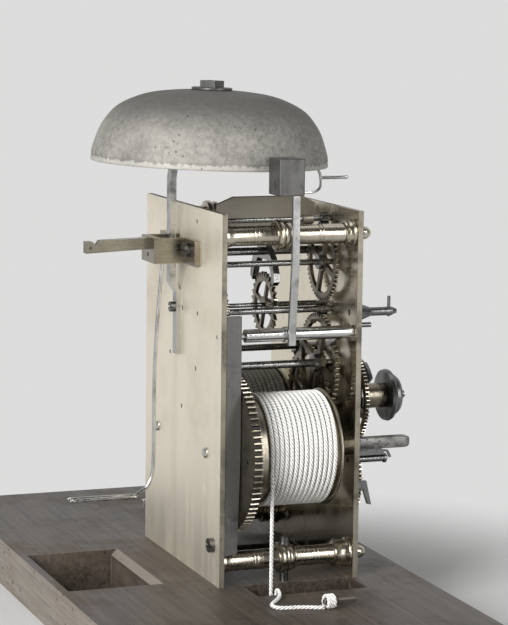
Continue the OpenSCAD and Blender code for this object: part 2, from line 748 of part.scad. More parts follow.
module pin_wheel() {
  color("gold") {
    wheel(pin_at, pin_y, pin_t, pin_n, pin_m, toward(pin_at, gather_at), 6, 2.4 + run);
    for (i = [0:pin_count - 1])
      rod(pin_at + polar(pin_circle, i * 360 / pin_count + 170), pin_y + pin_t - 0.5,
          pin_y + pin_t + 2.35, pin_r);
  }
}

module gathering_arbor() {
  color("gray") {
    shaft(gather_at, [[front_out - 3.4, front_out + 0.2, 0.9], [front_out + 0.2, front_in + shake, pivot_r],
      [front_in + shake, gather_y - 2.2, 1.5], [gather_y - 2.2, gather_y, 3.6],
      [gather_y, gather_y + gather_t, 2.2], [gather_y + gather_t, back_in - shake, 1.5],
      [back_in - shake, back_out - 0.2, pivot_r]]);
    pinion(gather_at, front_in + 1, 6, leaf7, pin_m, toward(gather_at, pin_at));
  }
}

module gathering_wheel() {
  color("gold") wheel(gather_at, gather_y, gather_t, gather_n, gather_m,
    toward(gather_at, warn_at), 4.6, 2.2 + run);
}

module warning_arbor() {
  color("gray") {
    shaft(warn_at, [[front_out + 0.2, front_in + shake, pivot_r], [front_in + shake, warn_y, 1.4],
      [warn_y, warn_y + warn_t, 2], [warn_y + warn_t, warn_y + warn_t + 2, 3.4],
      [warn_y + warn_t + 2, back_in - shake, 1.4], [back_in - shake, back_out - 0.2, pivot_r]]);
    pinion(warn_at, gather_y - 0.8, 3.2, leaf7, gather_m, toward(warn_at, gather_at));
  }
}

module warning_wheel() {
  color("gold") wheel(warn_at, warn_y, warn_t, warn_n, warn_m, toward(warn_at, fly_at), 4.4, 2 + run);
}

module fly_arbor() {
  color("gray") {
    shaft(fly_at, [[front_out + 0.2, front_in + shake, pivot_r], [front_in + shake, back_in - shake, 1.3],
      [back_in - shake, back_out - 0.2, pivot_r]]);
    pinion(fly_at, front_in + 1.1, 4.2, leaf7, warn_m, toward(fly_at, warn_at));
  }
}

// Vane and its sleeve, tilted with the upper edge toward the near side
module fly() {
  y0 = -22.5;
  color("gold") translate([fly_at[0], 0, fly_at[1]]) rotate([0, -21, 0]) difference() {
    union() {
      side_flat(-0.5, 1) polygon([[y0, -fly_r], [y0 + fly_len, -fly_r], [y0 + fly_len, fly_r - 3.5],
        [y0 + fly_len - 7, fly_r], [y0 + 7, fly_r], [y0, fly_r - 3.5]]);
      rod([0, 0], y0, y0 + 5, 2.6);
      rod([0, 0], y0 + fly_len - 4, y0 + fly_len, 2.6);
    }
    bore([0, 0], y0, y0 + fly_len, 1.3 + run);
  }
}

module hammer_arbor() {
  tail_y = front_in + 5.9;
  color("gray") {
    shaft(hammer_at, [[front_out + 0.2, front_in + shake, pivot_r],
      [front_in + shake, arm_y0 - 0.6, hammer_r],
      [arm_y0 - 0.6, arm_y1 + 0.6, hammer_r + 0.6], [arm_y1 + 0.6, back_in - 10.7, hammer_r],
      [back_in - 10.7, back_in - shake, 1.5], [back_in - shake, back_out - 0.2, pivot_r]]);
    flat(hammer_at, tail_y, 1.8) rotate(toward(hammer_at, pin_at))
      polygon([[0, -2.6], [tail_len - 2, -1.5], [tail_len, -0.3], [tail_len, 1.3], [0, 2.6]]);
  }
}

// Flat steel stem, riveted on the near side of the arbor's collar
module hammer_arm() {
  r = hammer_r + 0.6 + 0.02;
  x0 = hammer_at[0] - r;
  color("silver") flat([0, 0], arm_y0, arm_y1 - arm_y0)
    polygon([[x0, hammer_at[1] - 4.6], [x0, hammer_at[1] + 4], [arm_x, hammer_at[1] + 34], [arm_x, arm_top],
      [arm_x - 2, arm_top], [arm_x - 2, hammer_at[1] + 34], [x0 - 2, hammer_at[1] + 4],
      [x0 - 2, hammer_at[1] - 4.6]]);
}

module hammer_head() {
  x1 = head_x - 0.1;
  color("gray") translate([x1 - head_w, head_y0, arm_top]) cube([head_w, head_y1 - head_y0, head_h]);
}

// Bent wire at the head's foot with the straight rod beside it
module hammer_wire() {
  z = arm_top;
  path = [[head_y0 - 0.1, z + 1], [-8.6, z + 1.2], [-11, z + 2.4], [-11.9, z + 4.6],
    [-11.6, z + 8.8], [-10.6, z + 11]];
  color("silver") {
    side_flat(arm_x - 1.6, 1.2) polygon(strip(path, 1.2));
    translate([arm_x - 1, -25, z + 7.6]) rotate([-90, 0, 0]) cylinder(r = 0.8, h = 13.4);
  }
}

centre_m = module_of(centre_at, third_at, centre_n, leaf8);
third_m = module_of(third_at, escape_at, third_n, leaf7);

module centre_arbor() {
  color("gray") difference() {
    union() {
      shaft(centre_at, [[front_out - 45.4, centre_y, centre_r], [centre_y, centre_y + centre_t, 2.4],
        [centre_y + centre_t, centre_y + centre_t + 2, 4.6], [centre_y + centre_t + 2, great_g_y - 0.5, 1.9],
        [great_g_y - 0.5, great_g_y + 3.45, 1.6], [great_g_y + 3.45, back_in - shake, 1.25],
        [back_in - shake, back_out - 0.2, pivot_r]]);
      pinion(centre_at, great_g_y - 0.5, 3.95, leaf8, great_g_m, toward(centre_at, go_barrel_at));
    }
    translate([centre_at[0] - 5, front_out - 44.3, centre_at[1]]) rotate([0, 90, 0])
      cylinder(r = 0.6 + run, h = 10);
  }
}

module hand_pin() {
  color("dimgray") translate([centre_at[0] - 3.9, front_out - 44.3, centre_at[1]]) rotate([0, 90, 0])
    cylinder(r = 0.6, h = 7.8);
}

module centre_wheel() {
  color("gold") wheel(centre_at, centre_y, centre_t, centre_n, centre_m, toward(centre_at, third_at),
    5, 2.4 + run);
}

motion_m = 2 * motion_dist / (cannon_n + cannon_n);
hour_m = 2 * motion_dist / (hour_n + minute_leaf);
date_m = module_of(centre_at, date_at, date_drive_n, date_n);

module cannon_pipe() {
  color("gold") difference() {
    union() {
      rod(centre_at, front_out - 43.4, front_out - 1.2, cannon_pipe_r);
      solid_wheel(centre_at, cannon_y, cannon_t, cannon_n, motion_m, toward(centre_at, minute_at),
        cannon_pipe_r - 0.5);
    }
    bore(centre_at, front_out - 43.4, front_out - 1.2, centre_r + run);
  }
}

// Collet of the minute hand, whose hand is off
module hand_collet() {
  y = front_out - 37.6;
  color("dimgray") turned(centre_at, [[cannon_pipe_r + run, y], [12.2, y], [12.6, y + 1], [12.2, y + 2.5],
    [cannon_pipe_r + run, y + 2.5]]);
  color("dimgray") turned(centre_at, [[cannon_pipe_r + run, y - 4], [8.6, y - 4], [9.7, y - 2.6],
    [9.7, y + 0.5], [cannon_pipe_r + run, y + 0.5]]);
}

module minute_wheel() {
  color("gold") difference() {
    union() {
      solid_wheel(minute_at, cannon_y, cannon_t, cannon_n, motion_m, toward(minute_at, centre_at) + 5, 1);
      pinion(minute_at, hour_y - 0.4, cannon_y - hour_y + 0.9, minute_leaf, hour_m,
        toward(minute_at, centre_at));
    }
    bore(minute_at, hour_y - 1, front_out, 1.2 + run);
  }
}

module hour_wheel() {
  y0 = front_out - 34.6;
  color("gold") difference() {
    union() {
      rod(centre_at, y0, date_y + date_t + 0.5, hour_pipe_r);
      wheel(centre_at, hour_y, hour_t, hour_n, hour_m, toward(centre_at, minute_at), 9, 5);
      solid_wheel(centre_at, date_y, date_t, date_drive_n, date_m, toward(centre_at, date_at), 5);
    }
    bore(centre_at, y0, date_y + 3, cannon_pipe_r + run);
    groove(centre_at, y0 + 2.3);
  }
}

// Small groove round the hour pipe near its end
module groove(at, y) {
  difference() {
    rod(at, y, y + 0.7, hour_pipe_r + 1);
    rod(at, y - 1, y + 2, hour_pipe_r - 0.4);
  }
}

// Stepped cam of twelve hours
module snail() {
  color("gray") flat(centre_at, snail_y, snail_t) difference() {
    polygon([for (h = [0:11]) for (j = [0:4]) polar(snail_r - h * snail_step, 145 - h * 30 - j * 7.5)]);
    circle(hour_pipe_r + run);
  }
}

module date_wheel() {
  color("gold") wheel(date_at, date_y, date_t, date_n, date_m, toward(date_at, centre_at) + 2.5,
    5, 1.2 + run);
}

module third_arbor() {
  color("gray") {
    shaft(third_at, [[front_out + 0.2, front_in + 0.15, pivot_r], [front_in + 0.15, third_y - 2, 1.6],
      [third_y - 2, third_y, 4], [third_y, third_y + third_t, 2.2],
      [third_y + third_t, back_in - shake, 1.4], [back_in - shake, back_out - 0.2, pivot_r]]);
    pinion(third_at, front_in + 0.4, 2.5, leaf8, centre_m, toward(third_at, centre_at));
  }
}

module third_wheel() {
  color("gold") wheel(third_at, third_y, third_t, third_n, third_m, toward(third_at, escape_at),
    5, 2.2 + run);
}

module escape_arbor() {
  color("gray") {
    shaft(escape_at, [[front_out + 0.2, front_in + shake, pivot_r], [front_in + shake, escape_y - 1.8, 1.3],
      [escape_y - 1.8, escape_y, 3], [escape_y, escape_y + escape_t, 1.8],
      [escape_y + escape_t, third_y - 0.8, 1.1], [third_y - 0.8, back_in - 0.7, 1.6],
      [back_in - 0.7, back_in - shake, 1.1], [back_in - shake, back_out - 0.2, pivot_r]]);
    pinion(escape_at, third_y - 0.8, 3.2, leaf7, third_m, toward(escape_at, third_at));
  }
}

module escape_wheel() {
  color("gold") flat(escape_at, escape_y, escape_t) difference() {
    polygon(saw_points(escape_n, escape_r, escape_r - 2.6, 0.62));
    circle(1.8 + run);
    difference() {
      circle(escape_r - 4.4);
      circle(4);
      for (a = [0, 90]) rotate(a + 20) square([30, 1.6], center = true);
    }
  }
}

module pallet_arbor() {
  cock_in = back_out + 13.5;
  color("gray") shaft(pallet_at, [[front_out + 0.2, front_in + shake, pivot_r],
    [front_in + shake, escape_y - 3, 1.9], [escape_y - 3, escape_y + escape_t + 1, 1.9],
    [escape_y + escape_t + 1, back_in - 1, 1.9], [back_in - 1, cock_in - shake, pallet_r],
    [cock_in - shake, cock_in + 3, pivot_r]]);
}

// Anchor over the escape wheel, its nibs just clear of the wheel's tips
module pallets() {
  drop = pallet_at[1] - escape_at[1];
  span = 51;
  gap = 1;
  nib = polar(escape_r + gap, 90 - span) - [0, drop];
  arm = [[3, 3.9], [6, 2.2], [12, -2.5], nib + [2.4, 6], nib + [2.8, 2], nib, nib + [-0.8, 2.5],
    [10.6, -8], [6, -3.6]];
  color("gray") flat(pallet_at, escape_y - 0.7, 3) difference() {
    polygon(concat(arm, [for (i = [len(arm) - 1:-1:0]) [-arm[i][0], arm[i][1]]]));
    circle(1.9 + run);
  }
}

// Wire that carries the fork behind the pendulum rod
module crutch() {
  z = board_t;
  w = crutch_d;
  y = crutch_y;
  path = [[y, pallet_at[1]], [y, z + 142], [y + 0.4, z + 135.5], [y + 2.2, z + 113], [y + 3.3, z + 88],
    [y + 3.5, z + 54], [y + 4, z + 44], [y + 5.4, z + 39.4], [y + 7.8, z + 36], [y + 12.6, z + 33.2]];
  color("silver") difference() {
    union() {
      side_flat(-w / 2, w) polygon(strip(path, w));
      rod(pallet_at, y - 1.5, y + 1.5, 3.6);
      translate([-2.9, y + 11.4, z + 32]) cube([5.8, 2.2, w]);
      for (s = [-1, 1]) translate([s > 0 ? 1.2 : -1.2 - w, y + 11.4, z + 32]) cube([w, 32, w]);
      for (s = [-1, 1]) side_flat(s > 0 ? 1.2 : -1.2 - w, w)
        polygon(strip([[y + 43, z + 32.9], [y + 44.2, z + 33.6]], w));
    }
    bore(pallet_at, y - 1.5, y + 1.5, pallet_r + run);
  }
}

seat_board();
seat_bolts();
back_plate();
front_plate();
pillars();
pillar_pins();
back_cock();
cock_screws();
bell_stand();
stand_screw();
bell();
bell_nut();
hammer_spring();
spring_screw();
dial_studs();
stud_pin();
dial_springs();
board_pin();
strike_great_wheel();
strike_click();
strike_barrel();
strike_winding();
strike_line();
line_knot();
line_toggle();
pin_arbor();
pin_wheel();
gathering_arbor();
gathering_wheel();
warning_arbor();
warning_wheel();
fly_arbor();
fly();
hammer_arbor();
hammer_arm();
hammer_head();
hammer_wire();
going_great_wheel();
going_click();
going_barrel();
going_winding();
going_line();
centre_arbor();
centre_wheel();
cannon_pipe();
hand_collet();
hand_pin();
minute_wheel();
hour_wheel();
snail();
date_wheel();
third_arbor();
third_wheel();
escape_arbor();
escape_wheel();
pallet_arbor();
pallets();
crutch();
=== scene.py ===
"""Looks of a tall case clock's movement on its seat board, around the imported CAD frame.

Lengths of the movement are written in millimetres and turned into metres by MM. The studio and
the materials work in metres, as Blender does. The axes are the CAD's: +X right as seen from the
dial side, -Y towards the dial, +Z up.
"""

from __future__ import annotations

import json
import logging
import math
from dataclasses import dataclass, field
from enum import Enum
from typing import Callable, Optional, Sequence

import bmesh
import bpy
import numpy as np
from mathutils import Matrix, Vector

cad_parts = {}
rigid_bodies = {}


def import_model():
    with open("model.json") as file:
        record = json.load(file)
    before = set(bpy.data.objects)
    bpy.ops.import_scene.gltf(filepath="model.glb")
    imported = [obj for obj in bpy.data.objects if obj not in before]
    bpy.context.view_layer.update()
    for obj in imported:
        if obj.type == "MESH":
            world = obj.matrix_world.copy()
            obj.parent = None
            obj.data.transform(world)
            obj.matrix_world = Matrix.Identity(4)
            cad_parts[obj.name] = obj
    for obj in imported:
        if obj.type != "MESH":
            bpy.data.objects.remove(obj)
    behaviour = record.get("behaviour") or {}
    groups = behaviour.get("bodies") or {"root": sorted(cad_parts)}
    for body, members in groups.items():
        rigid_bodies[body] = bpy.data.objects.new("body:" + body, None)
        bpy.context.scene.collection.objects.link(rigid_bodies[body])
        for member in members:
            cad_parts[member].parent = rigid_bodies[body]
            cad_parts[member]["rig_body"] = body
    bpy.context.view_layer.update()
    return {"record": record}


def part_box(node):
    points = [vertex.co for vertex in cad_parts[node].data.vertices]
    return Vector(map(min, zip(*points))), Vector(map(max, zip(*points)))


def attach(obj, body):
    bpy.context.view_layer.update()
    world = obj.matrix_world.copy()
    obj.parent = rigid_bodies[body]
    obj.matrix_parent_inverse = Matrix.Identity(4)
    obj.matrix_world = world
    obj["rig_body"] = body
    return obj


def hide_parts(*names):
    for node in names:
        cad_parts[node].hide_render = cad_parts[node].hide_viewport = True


log = logging.getLogger("clock")

MM = 0.001
PLATE_OUT = 34.0  # outer face of the back plate from the middle; the front plate mirrors it
PLATE_IN = 31.5
BOARD_T = 22.0
BOARD_BACK = 0.104  # back edge of the board, in metres
BARREL_X = 35.0  # the going barrel; the strike barrel is at -BARREL_X
BARREL_Z = 81.0
TURNS = 13.5  # turns of line on each barrel
PITCH = 2.35
BELL_AT = (8.0, 18.5, 210.0)  # middle of the bell's mouth
BELL_TILT = Matrix.Rotation(math.radians(1.6), 3, "X")
Point = Sequence[float]
Colour = tuple[float, float, float]


# Shader building


@dataclass
class Wires:
    """Adds shader nodes to a tree and wires their inputs."""

    tree: bpy.types.NodeTree

    def add(self, kind: str, inputs: Optional[dict] = None, **settings: object) -> bpy.types.Node:
        """Add a node.

        Args:
            kind: the node's type name.
            inputs: socket name or number to a value, or to the socket that feeds it.
            settings: attributes of the node.

        Returns:
            The new node.
        """
        node = self.tree.nodes.new(kind)
        for name, value in settings.items():
            setattr(node, name, value)
        self.fill(node, inputs or {})
        return node

    def fill(self, node: bpy.types.Node, inputs: dict) -> None:
        """Set a node's inputs.

        Args:
            node: the node.
            inputs: socket name or number to a value, or to the socket that feeds it.
        """
        for key, value in inputs.items():
            if isinstance(value, bpy.types.NodeSocket):
                self.tree.links.new(value, node.inputs[key])
            else:
                node.inputs[key].default_value = value

    def math(self, operation: str, a: object, b: object = 0.0, clamp: bool = False) -> bpy.types.NodeSocket:
        """Return the result socket of a math node on a and b."""
        return self.add("ShaderNodeMath", {0: a, 1: b}, operation=operation, use_clamp=clamp).outputs[0]

    def product(self, a: object, b: object) -> bpy.types.NodeSocket:
        """Return a times b."""
        return self.math("MULTIPLY", a, b)

    def remap(self, value: object, low: float, high: float, to_low: object = 0.0,
              to_high: object = 1.0) -> bpy.types.NodeSocket:
        """Take a value from one span to another, clamped and smooth.

        Args:
            value: the socket that is read.
            low: where the span starts.
            high: where it ends.
            to_low: the result at low and beyond.
            to_high: the result at high and beyond.

        Returns:
            The result socket.
        """
        node = self.add("ShaderNodeMapRange", {"Value": value, "From Min": low, "From Max": high,
                                               "To Min": to_low, "To Max": to_high},
                        interpolation_type="SMOOTHSTEP")
        return node.outputs["Result"]

    def mix(self, factor: object, a: object, b: object) -> bpy.types.NodeSocket:
        """Mix two colours.

        Args:
            factor: 0 for a, 1 for b.
            a: a colour or the socket that feeds it.
            b: the other one.

        Returns:
            The result socket.
        """
        first, second = ((*c, 1.0) if isinstance(c, tuple) else c for c in (a, b))
        return self.add("ShaderNodeMix", {0: factor, 6: first, 7: second}, data_type="RGBA").outputs[2]

    def feed(self, shader: bpy.types.Node, colour: object, rough: object, relief: object, step: float,
             strength: float) -> None:
        """Give a Principled node its colour, roughness and relief.

        Args:
            shader: the Principled node.
            colour: the base colour.
            rough: the roughness.
            relief: the height that the bump reads.
            step: how far in metres the relief stands out.
            strength: how much of it shows.
        """
        bump = self.add("ShaderNodeBump", {"Height": relief, "Distance": step, "Strength": strength})
        self.fill(shader, {"Base Color": colour, "Roughness": rough, "Normal": bump.outputs[0]})


class Effect(Enum):
    """The shader groups that several finishes share."""

    BLOTCHES = "blotches"
    SPECKS = "specks"
    DRAWN_LINES = "drawn_lines"
    SLANT = "slant"


class EffectKit:
    """Builds each shared shader group once and places it in materials."""

    def __init__(self) -> None:
        """Build the four groups."""
        self.groups = {
            Effect.BLOTCHES: self._blotches_group(),
            Effect.SPECKS: self._specks_group(),
            Effect.DRAWN_LINES: self._lines_group(),
            Effect.SLANT: self._slant_group(),
        }

    @staticmethod
    def _open(name: str, floats: Sequence[str], output: str) -> tuple[Wires, bpy.types.Node, bpy.types.Node]:
        """Start a group with a Vector input, float inputs and one float output.

        Args:
            name: the group's name.
            floats: names of its float inputs.
            output: name of its output.

        Returns:
            The group's wires, its input node and its output node.
        """
        tree = bpy.data.node_groups.new(name, "ShaderNodeTree")
        tree.interface.new_socket(name="Vector", in_out="INPUT", socket_type="NodeSocketVector")
        for label in floats:
            tree.interface.new_socket(name=label, in_out="INPUT", socket_type="NodeSocketFloat")
        tree.interface.new_socket(name=output, in_out="OUTPUT", socket_type="NodeSocketFloat")
        wires = Wires(tree)
        return wires, wires.add("NodeGroupInput"), wires.add("NodeGroupOutput")

    def _blotches_group(self) -> bpy.types.NodeTree:
        """Make the group of uneven patches between the levels Low and High.

        Returns:
            The group.
        """
        wires, source, sink = self._open(Effect.BLOTCHES.value, ["Scale", "Low", "High"], "Mask")
        noise = wires.add("ShaderNodeTexNoise", {"Vector": source.outputs["Vector"],
                                                 "Scale": source.outputs["Scale"],
                                                 "Detail": 5.0, "Roughness": 0.62})
        spread = wires.add("ShaderNodeMapRange", {"Value": noise.outputs[0],
                                                  "From Min": source.outputs["Low"],
                                                  "From Max": source.outputs["High"]},
                           interpolation_type="SMOOTHSTEP")
        wires.tree.links.new(spread.outputs["Result"], sink.inputs["Mask"])
        return wires.tree

    def _specks_group(self) -> bpy.types.NodeTree:
        """Make the group of sparse small pits of uneven size.

        Returns:
            The group.
        """
        wires, source, sink = self._open(Effect.SPECKS.value, ["Scale", "Amount"], "Mask")
        cells = wires.add("ShaderNodeTexVoronoi", {"Vector": source.outputs["Vector"],
                                                   "Scale": source.outputs["Scale"]})
        crowd = wires.add("ShaderNodeTexNoise", {"Vector": source.outputs["Vector"], "Scale": 45.0,
                                                 "Detail": 3.0})
        size = wires.math("POWER", cells.outputs["Color"], 3.0)
        reach = wires.product(wires.product(size, crowd.outputs[0]), source.outputs["Amount"])
        depth = wires.math("SUBTRACT", reach, cells.outputs["Distance"])
        wires.tree.links.new(wires.remap(depth, 0.0, 0.10), sink.inputs["Mask"])
        return wires.tree

    def _lines_group(self) -> bpy.types.NodeTree:
        """Make the group of fine lines, drawn out along the axes whose input is small.

        Returns:
            The group.
        """
        wires, source, sink = self._open(Effect.DRAWN_LINES.value, ["Across X", "Across Y", "Across Z"],
                                         "Value")
        scale = wires.add("ShaderNodeCombineXYZ", {i: source.outputs[i + 1] for i in range(3)})
        drawn = wires.add("ShaderNodeVectorMath", {0: source.outputs["Vector"], 1: scale.outputs[0]},
                          operation="MULTIPLY")
        noise = wires.add("ShaderNodeTexNoise", {"Vector": drawn.outputs[0], "Scale": 1.0, "Detail": 4.0,
                                                 "Roughness": 0.7})
        wires.tree.links.new(noise.outputs[0], sink.inputs["Value"])
        return wires.tree

    def _slant_group(self) -> bpy.types.NodeTree:
        """Make the group that marks faces along no axis, as rounded and broken edges are.

        Returns:
            The group.
        """
        wires, source, sink = self._open(Effect.SLANT.value, ["Start"], "Mask")
        parts = wires.add("ShaderNodeSeparateXYZ", {0: source.outputs["Vector"]})
        widest = wires.math("ABSOLUTE", parts.outputs[0])
        for i in (1, 2):
            widest = wires.math("MAXIMUM", widest, wires.math("ABSOLUTE", parts.outputs[i]))
        away = wires.math("SUBTRACT", source.outputs["Start"], widest)
        wires.tree.links.new(wires.remap(away, 0.0, 0.05), sink.inputs["Mask"])
        return wires.tree

    def place(self, wires: Wires, effect: Effect, **inputs: object) -> bpy.types.NodeSocket:
        """Put an effect in a material.

        Args:
            wires: the material's tree.
            effect: which group.
            inputs: its inputs, with _ for a space in a name.

        Returns:
            The group's output socket.
        """
        node = wires.add("ShaderNodeGroup", node_tree=self.groups[effect])
        wires.fill(node, {name.replace("_", " "): value for name, value in inputs.items()})
        return node.outputs[0]


def new_material(name: str) -> tuple[bpy.types.Material, Wires, bpy.types.Node, bpy.types.NodeSocket]:
    """Start a material.

    Args:
        name: its name.

    Returns:
        The material, its wires, its Principled node and the place on the piece in metres.
    """
    material = bpy.data.materials.new(name)
    material.use_nodes = True
    wires = Wires(material.node_tree)
    at = wires.add("ShaderNodeTexCoord").outputs["Object"]
    return material, wires, material.node_tree.nodes["Principled BSDF"], at


@dataclass(frozen=True)
class Metal:
    """A worked metal: base tone, patches of stain, pits and fine tool lines."""

    name: str
    tone: Colour
    stain: Colour
    rough: tuple[float, float] = (0.18, 0.34)
    metallic: float = 1.0
    stain_scale: float = 30.0
    stain_reach: tuple[float, float] = (0.48, 0.75)
    pit_scale: float = 900.0
    pit_amount: float = 0.0
    lines: tuple[float, float, float] = (60.0, 60.0, 900.0)
    line_depth: float = 0.15
    pit_depth: float = 0.6

    def build(self, kit: EffectKit) -> bpy.types.Material:
        """Make this finish's material.

        Args:
            kit: the shared effects.

        Returns:
            The material.
        """
        material, wires, shader, at = new_material(self.name)
        stain = kit.place(wires, Effect.BLOTCHES, Vector=at, Scale=self.stain_scale,
                          Low=self.stain_reach[0], High=self.stain_reach[1])
        lines = kit.place(wires, Effect.DRAWN_LINES, Vector=at, Across_X=self.lines[0],
                          Across_Y=self.lines[1], Across_Z=self.lines[2])
        colour = wires.mix(stain, self.tone, self.stain)
        height = wires.product(lines, self.line_depth)
        if self.pit_amount:
            pits = kit.place(wires, Effect.SPECKS, Vector=at, Scale=self.pit_scale, Amount=self.pit_amount)
            colour = wires.mix(wires.product(pits, 0.8), colour, tuple(c * 0.25 for c in self.stain))
            height = wires.math("SUBTRACT", height, wires.product(pits, self.pit_depth))
        rough = wires.remap(lines, 0.3, 0.7, self.rough[0], self.rough[1])
        rough = wires.math("ADD", rough, wires.product(stain, 0.12), clamp=True)
        shader.inputs["Metallic"].default_value = self.metallic
        wires.feed(shader, colour, rough, height, 0.0002, 0.5)
        return material


@dataclass(frozen=True)
class BellMetal:
    """Old cast bell metal: mottled, pitted, with a bright worn band at the rim and painted shade on the
    crown.
    """

    name: str
    tone: Colour = (0.255, 0.246, 0.222)
    dark: Colour = (0.165, 0.158, 0.143)
    pale: Colour = (0.52, 0.502, 0.455)

    def build(self, kit: EffectKit) -> bpy.types.Material:
        """Make this finish's material.

        Args:
            kit: the shared effects.

        Returns:
            The material.
        """
        material, wires, shader, at = new_material(self.name)
        mottle = kit.place(wires, Effect.BLOTCHES, Vector=at, Scale=38.0, Low=0.36, High=0.66)
        fine = kit.place(wires, Effect.BLOTCHES, Vector=at, Scale=420.0, Low=0.35, High=0.68)
        stain = kit.place(wires, Effect.BLOTCHES, Vector=at, Scale=17.0, Low=0.56, High=0.70)
        pits = kit.place(wires, Effect.SPECKS, Vector=at, Scale=1100.0, Amount=1.1)
        dots = kit.place(wires, Effect.SPECKS, Vector=at, Scale=420.0, Amount=0.7)
        colour = wires.mix(mottle, self.dark, self.tone)
        colour = wires.mix(wires.product(fine, 0.30), colour, self.pale)
        colour = wires.mix(wires.product(stain, 0.55), colour, self.dark)
        up = BELL_TILT @ Vector((0, 0, 1))
        level = wires.add("ShaderNodeVectorMath", {0: at, 1: tuple(up)}, operation="DOT_PRODUCT")
        above = wires.math("SUBTRACT", level.outputs["Value"], up.dot(Vector(BELL_AT) * MM))
        wander = wires.product(fine, 0.0012)
        band = wires.remap(wires.math("SUBTRACT", above, wander), 0.0022, 0.0012)
        line = wires.product(wires.remap(above, 0.0038, 0.0026), wires.math("SUBTRACT", 1.0, band))
        colour = wires.mix(wires.product(line, 0.5), colour, self.dark)
        colour = wires.mix(wires.product(band, 0.55), colour, self.pale)
        # Painted shade: towards the top the crown is darkened to half of dark, where less light falls on it.
        crown = wires.remap(above, 0.012, 0.031)
        colour = wires.mix(wires.product(crown, 0.85), colour, tuple(c * 0.5 for c in self.dark))
        marks = wires.math("MAXIMUM", pits, dots)
        colour = wires.mix(wires.product(marks, 0.75), colour, (0.06, 0.058, 0.055))
        relief = wires.math("SUBTRACT", wires.product(fine, 0.35), wires.product(marks, 0.8))
        shader.inputs["Metallic"].default_value = 0.15
        wires.feed(shader, colour, wires.remap(mottle, 0.0, 1.0, 0.60, 0.74), relief, 0.0003, 0.6)
        return material


@dataclass(frozen=True)
class StainedWood:
    """Dark stained board: grain along X, scuffs, pale wood where it is broken, and a paler back face."""

    name: str
    dark: Colour = (0.022, 0.017, 0.013)
    tone: Colour = (0.078, 0.060, 0.046)
    raw: Colour = (0.23, 0.20, 0.165)
    pale_back: bool = True

    def build(self, kit: EffectKit) -> bpy.types.Material:
        """Make this finish's material.

        Args:
            kit: the shared effects.

        Returns:
            The material.
        """
        material, wires, shader, at = new_material(self.name)
        grain = kit.place(wires, Effect.DRAWN_LINES, Vector=at, Across_X=16.0, Across_Y=520.0, Across_Z=520.0)
        wear = kit.place(wires, Effect.BLOTCHES, Vector=at, Scale=24.0, Low=0.40, High=0.68)
        scuff = kit.place(wires, Effect.DRAWN_LINES, Vector=at, Across_X=260.0, Across_Y=70.0, Across_Z=70.0)
        specks = kit.place(wires, Effect.SPECKS, Vector=at, Scale=260.0, Amount=0.9)
        colour = wires.mix(wires.remap(grain, 0.32, 0.68), self.dark, self.tone)
        colour = wires.mix(wires.product(wear, 0.35), colour, tuple(c * 1.9 for c in self.tone))
        colour = wires.mix(wires.product(wires.remap(scuff, 0.62, 0.74), 0.35), colour, self.raw)
        facing = wires.add("ShaderNodeNewGeometry").outputs["Normal"]
        slant = kit.place(wires, Effect.SLANT, Vector=facing, Start=0.95)
        pale_parts = wires.product(slant, wires.remap(wear, 0.0, 0.5, 0.35, 0.9))
        # The back face is made paler, in streaks along the grain.
        if self.pale_back:
            depth = wires.add("ShaderNodeSeparateXYZ", {0: at}).outputs[1]
            back = wires.product(wires.remap(depth, BOARD_BACK - 0.0004, BOARD_BACK - 0.0001),
                                 wires.remap(grain, 0.25, 0.7, 0.45, 0.95))
            pale_parts = wires.math("MAXIMUM", pale_parts, back)
        colour = wires.mix(pale_parts, colour, self.raw)
        colour = wires.mix(wires.product(specks, 0.7), colour, (0.012, 0.010, 0.009))
        relief = wires.math("SUBTRACT", wires.product(grain, 0.6), wires.product(specks, 0.5))
        wires.feed(shader, colour, wires.remap(wear, 0.0, 1.0, 0.42, 0.62), relief, 0.0005, 0.45)
        return material


@dataclass(frozen=True)
class Rope:
    """White laid line: bright strands with a little soil, fine filaments and painted shade in the grooves
    between strands.
    """

    name: str
    tone: Colour = (0.88, 0.87, 0.835)
    soil: Colour = (0.66, 0.64, 0.59)
    # colour of the painted shade at the bottom of the grooves between strands
    deep: Colour = (0.10, 0.095, 0.085)

    def build(self, kit: EffectKit) -> bpy.types.Material:
        """Make this finish's material.

        Args:
            kit: the shared effects.

        Returns:
            The material.
        """
        material, wires, shader, at = new_material(self.name)
        soil = kit.place(wires, Effect.BLOTCHES, Vector=at, Scale=90.0, Low=0.5, High=0.8)
        hairs = kit.place(wires, Effect.DRAWN_LINES, Vector=at, Across_X=2600.0, Across_Y=900.0,
                          Across_Z=2600.0)
        # Painted shade: the grooves between strands are darkened towards deep by their stored depth.
        groove = wires.add("ShaderNodeAttribute", attribute_name="groove").outputs["Fac"]
        colour = wires.mix(wires.product(soil, 0.5), self.tone, self.soil)
        colour = wires.mix(wires.remap(groove, 0.25, 1.0, 0.0, 0.85), colour, self.deep)
        shader.inputs["Sheen Weight"].default_value = 0.15
        wires.feed(shader, colour, wires.remap(hairs, 0.3, 0.7, 0.32, 0.48), hairs, 0.0001, 0.35)
        return material


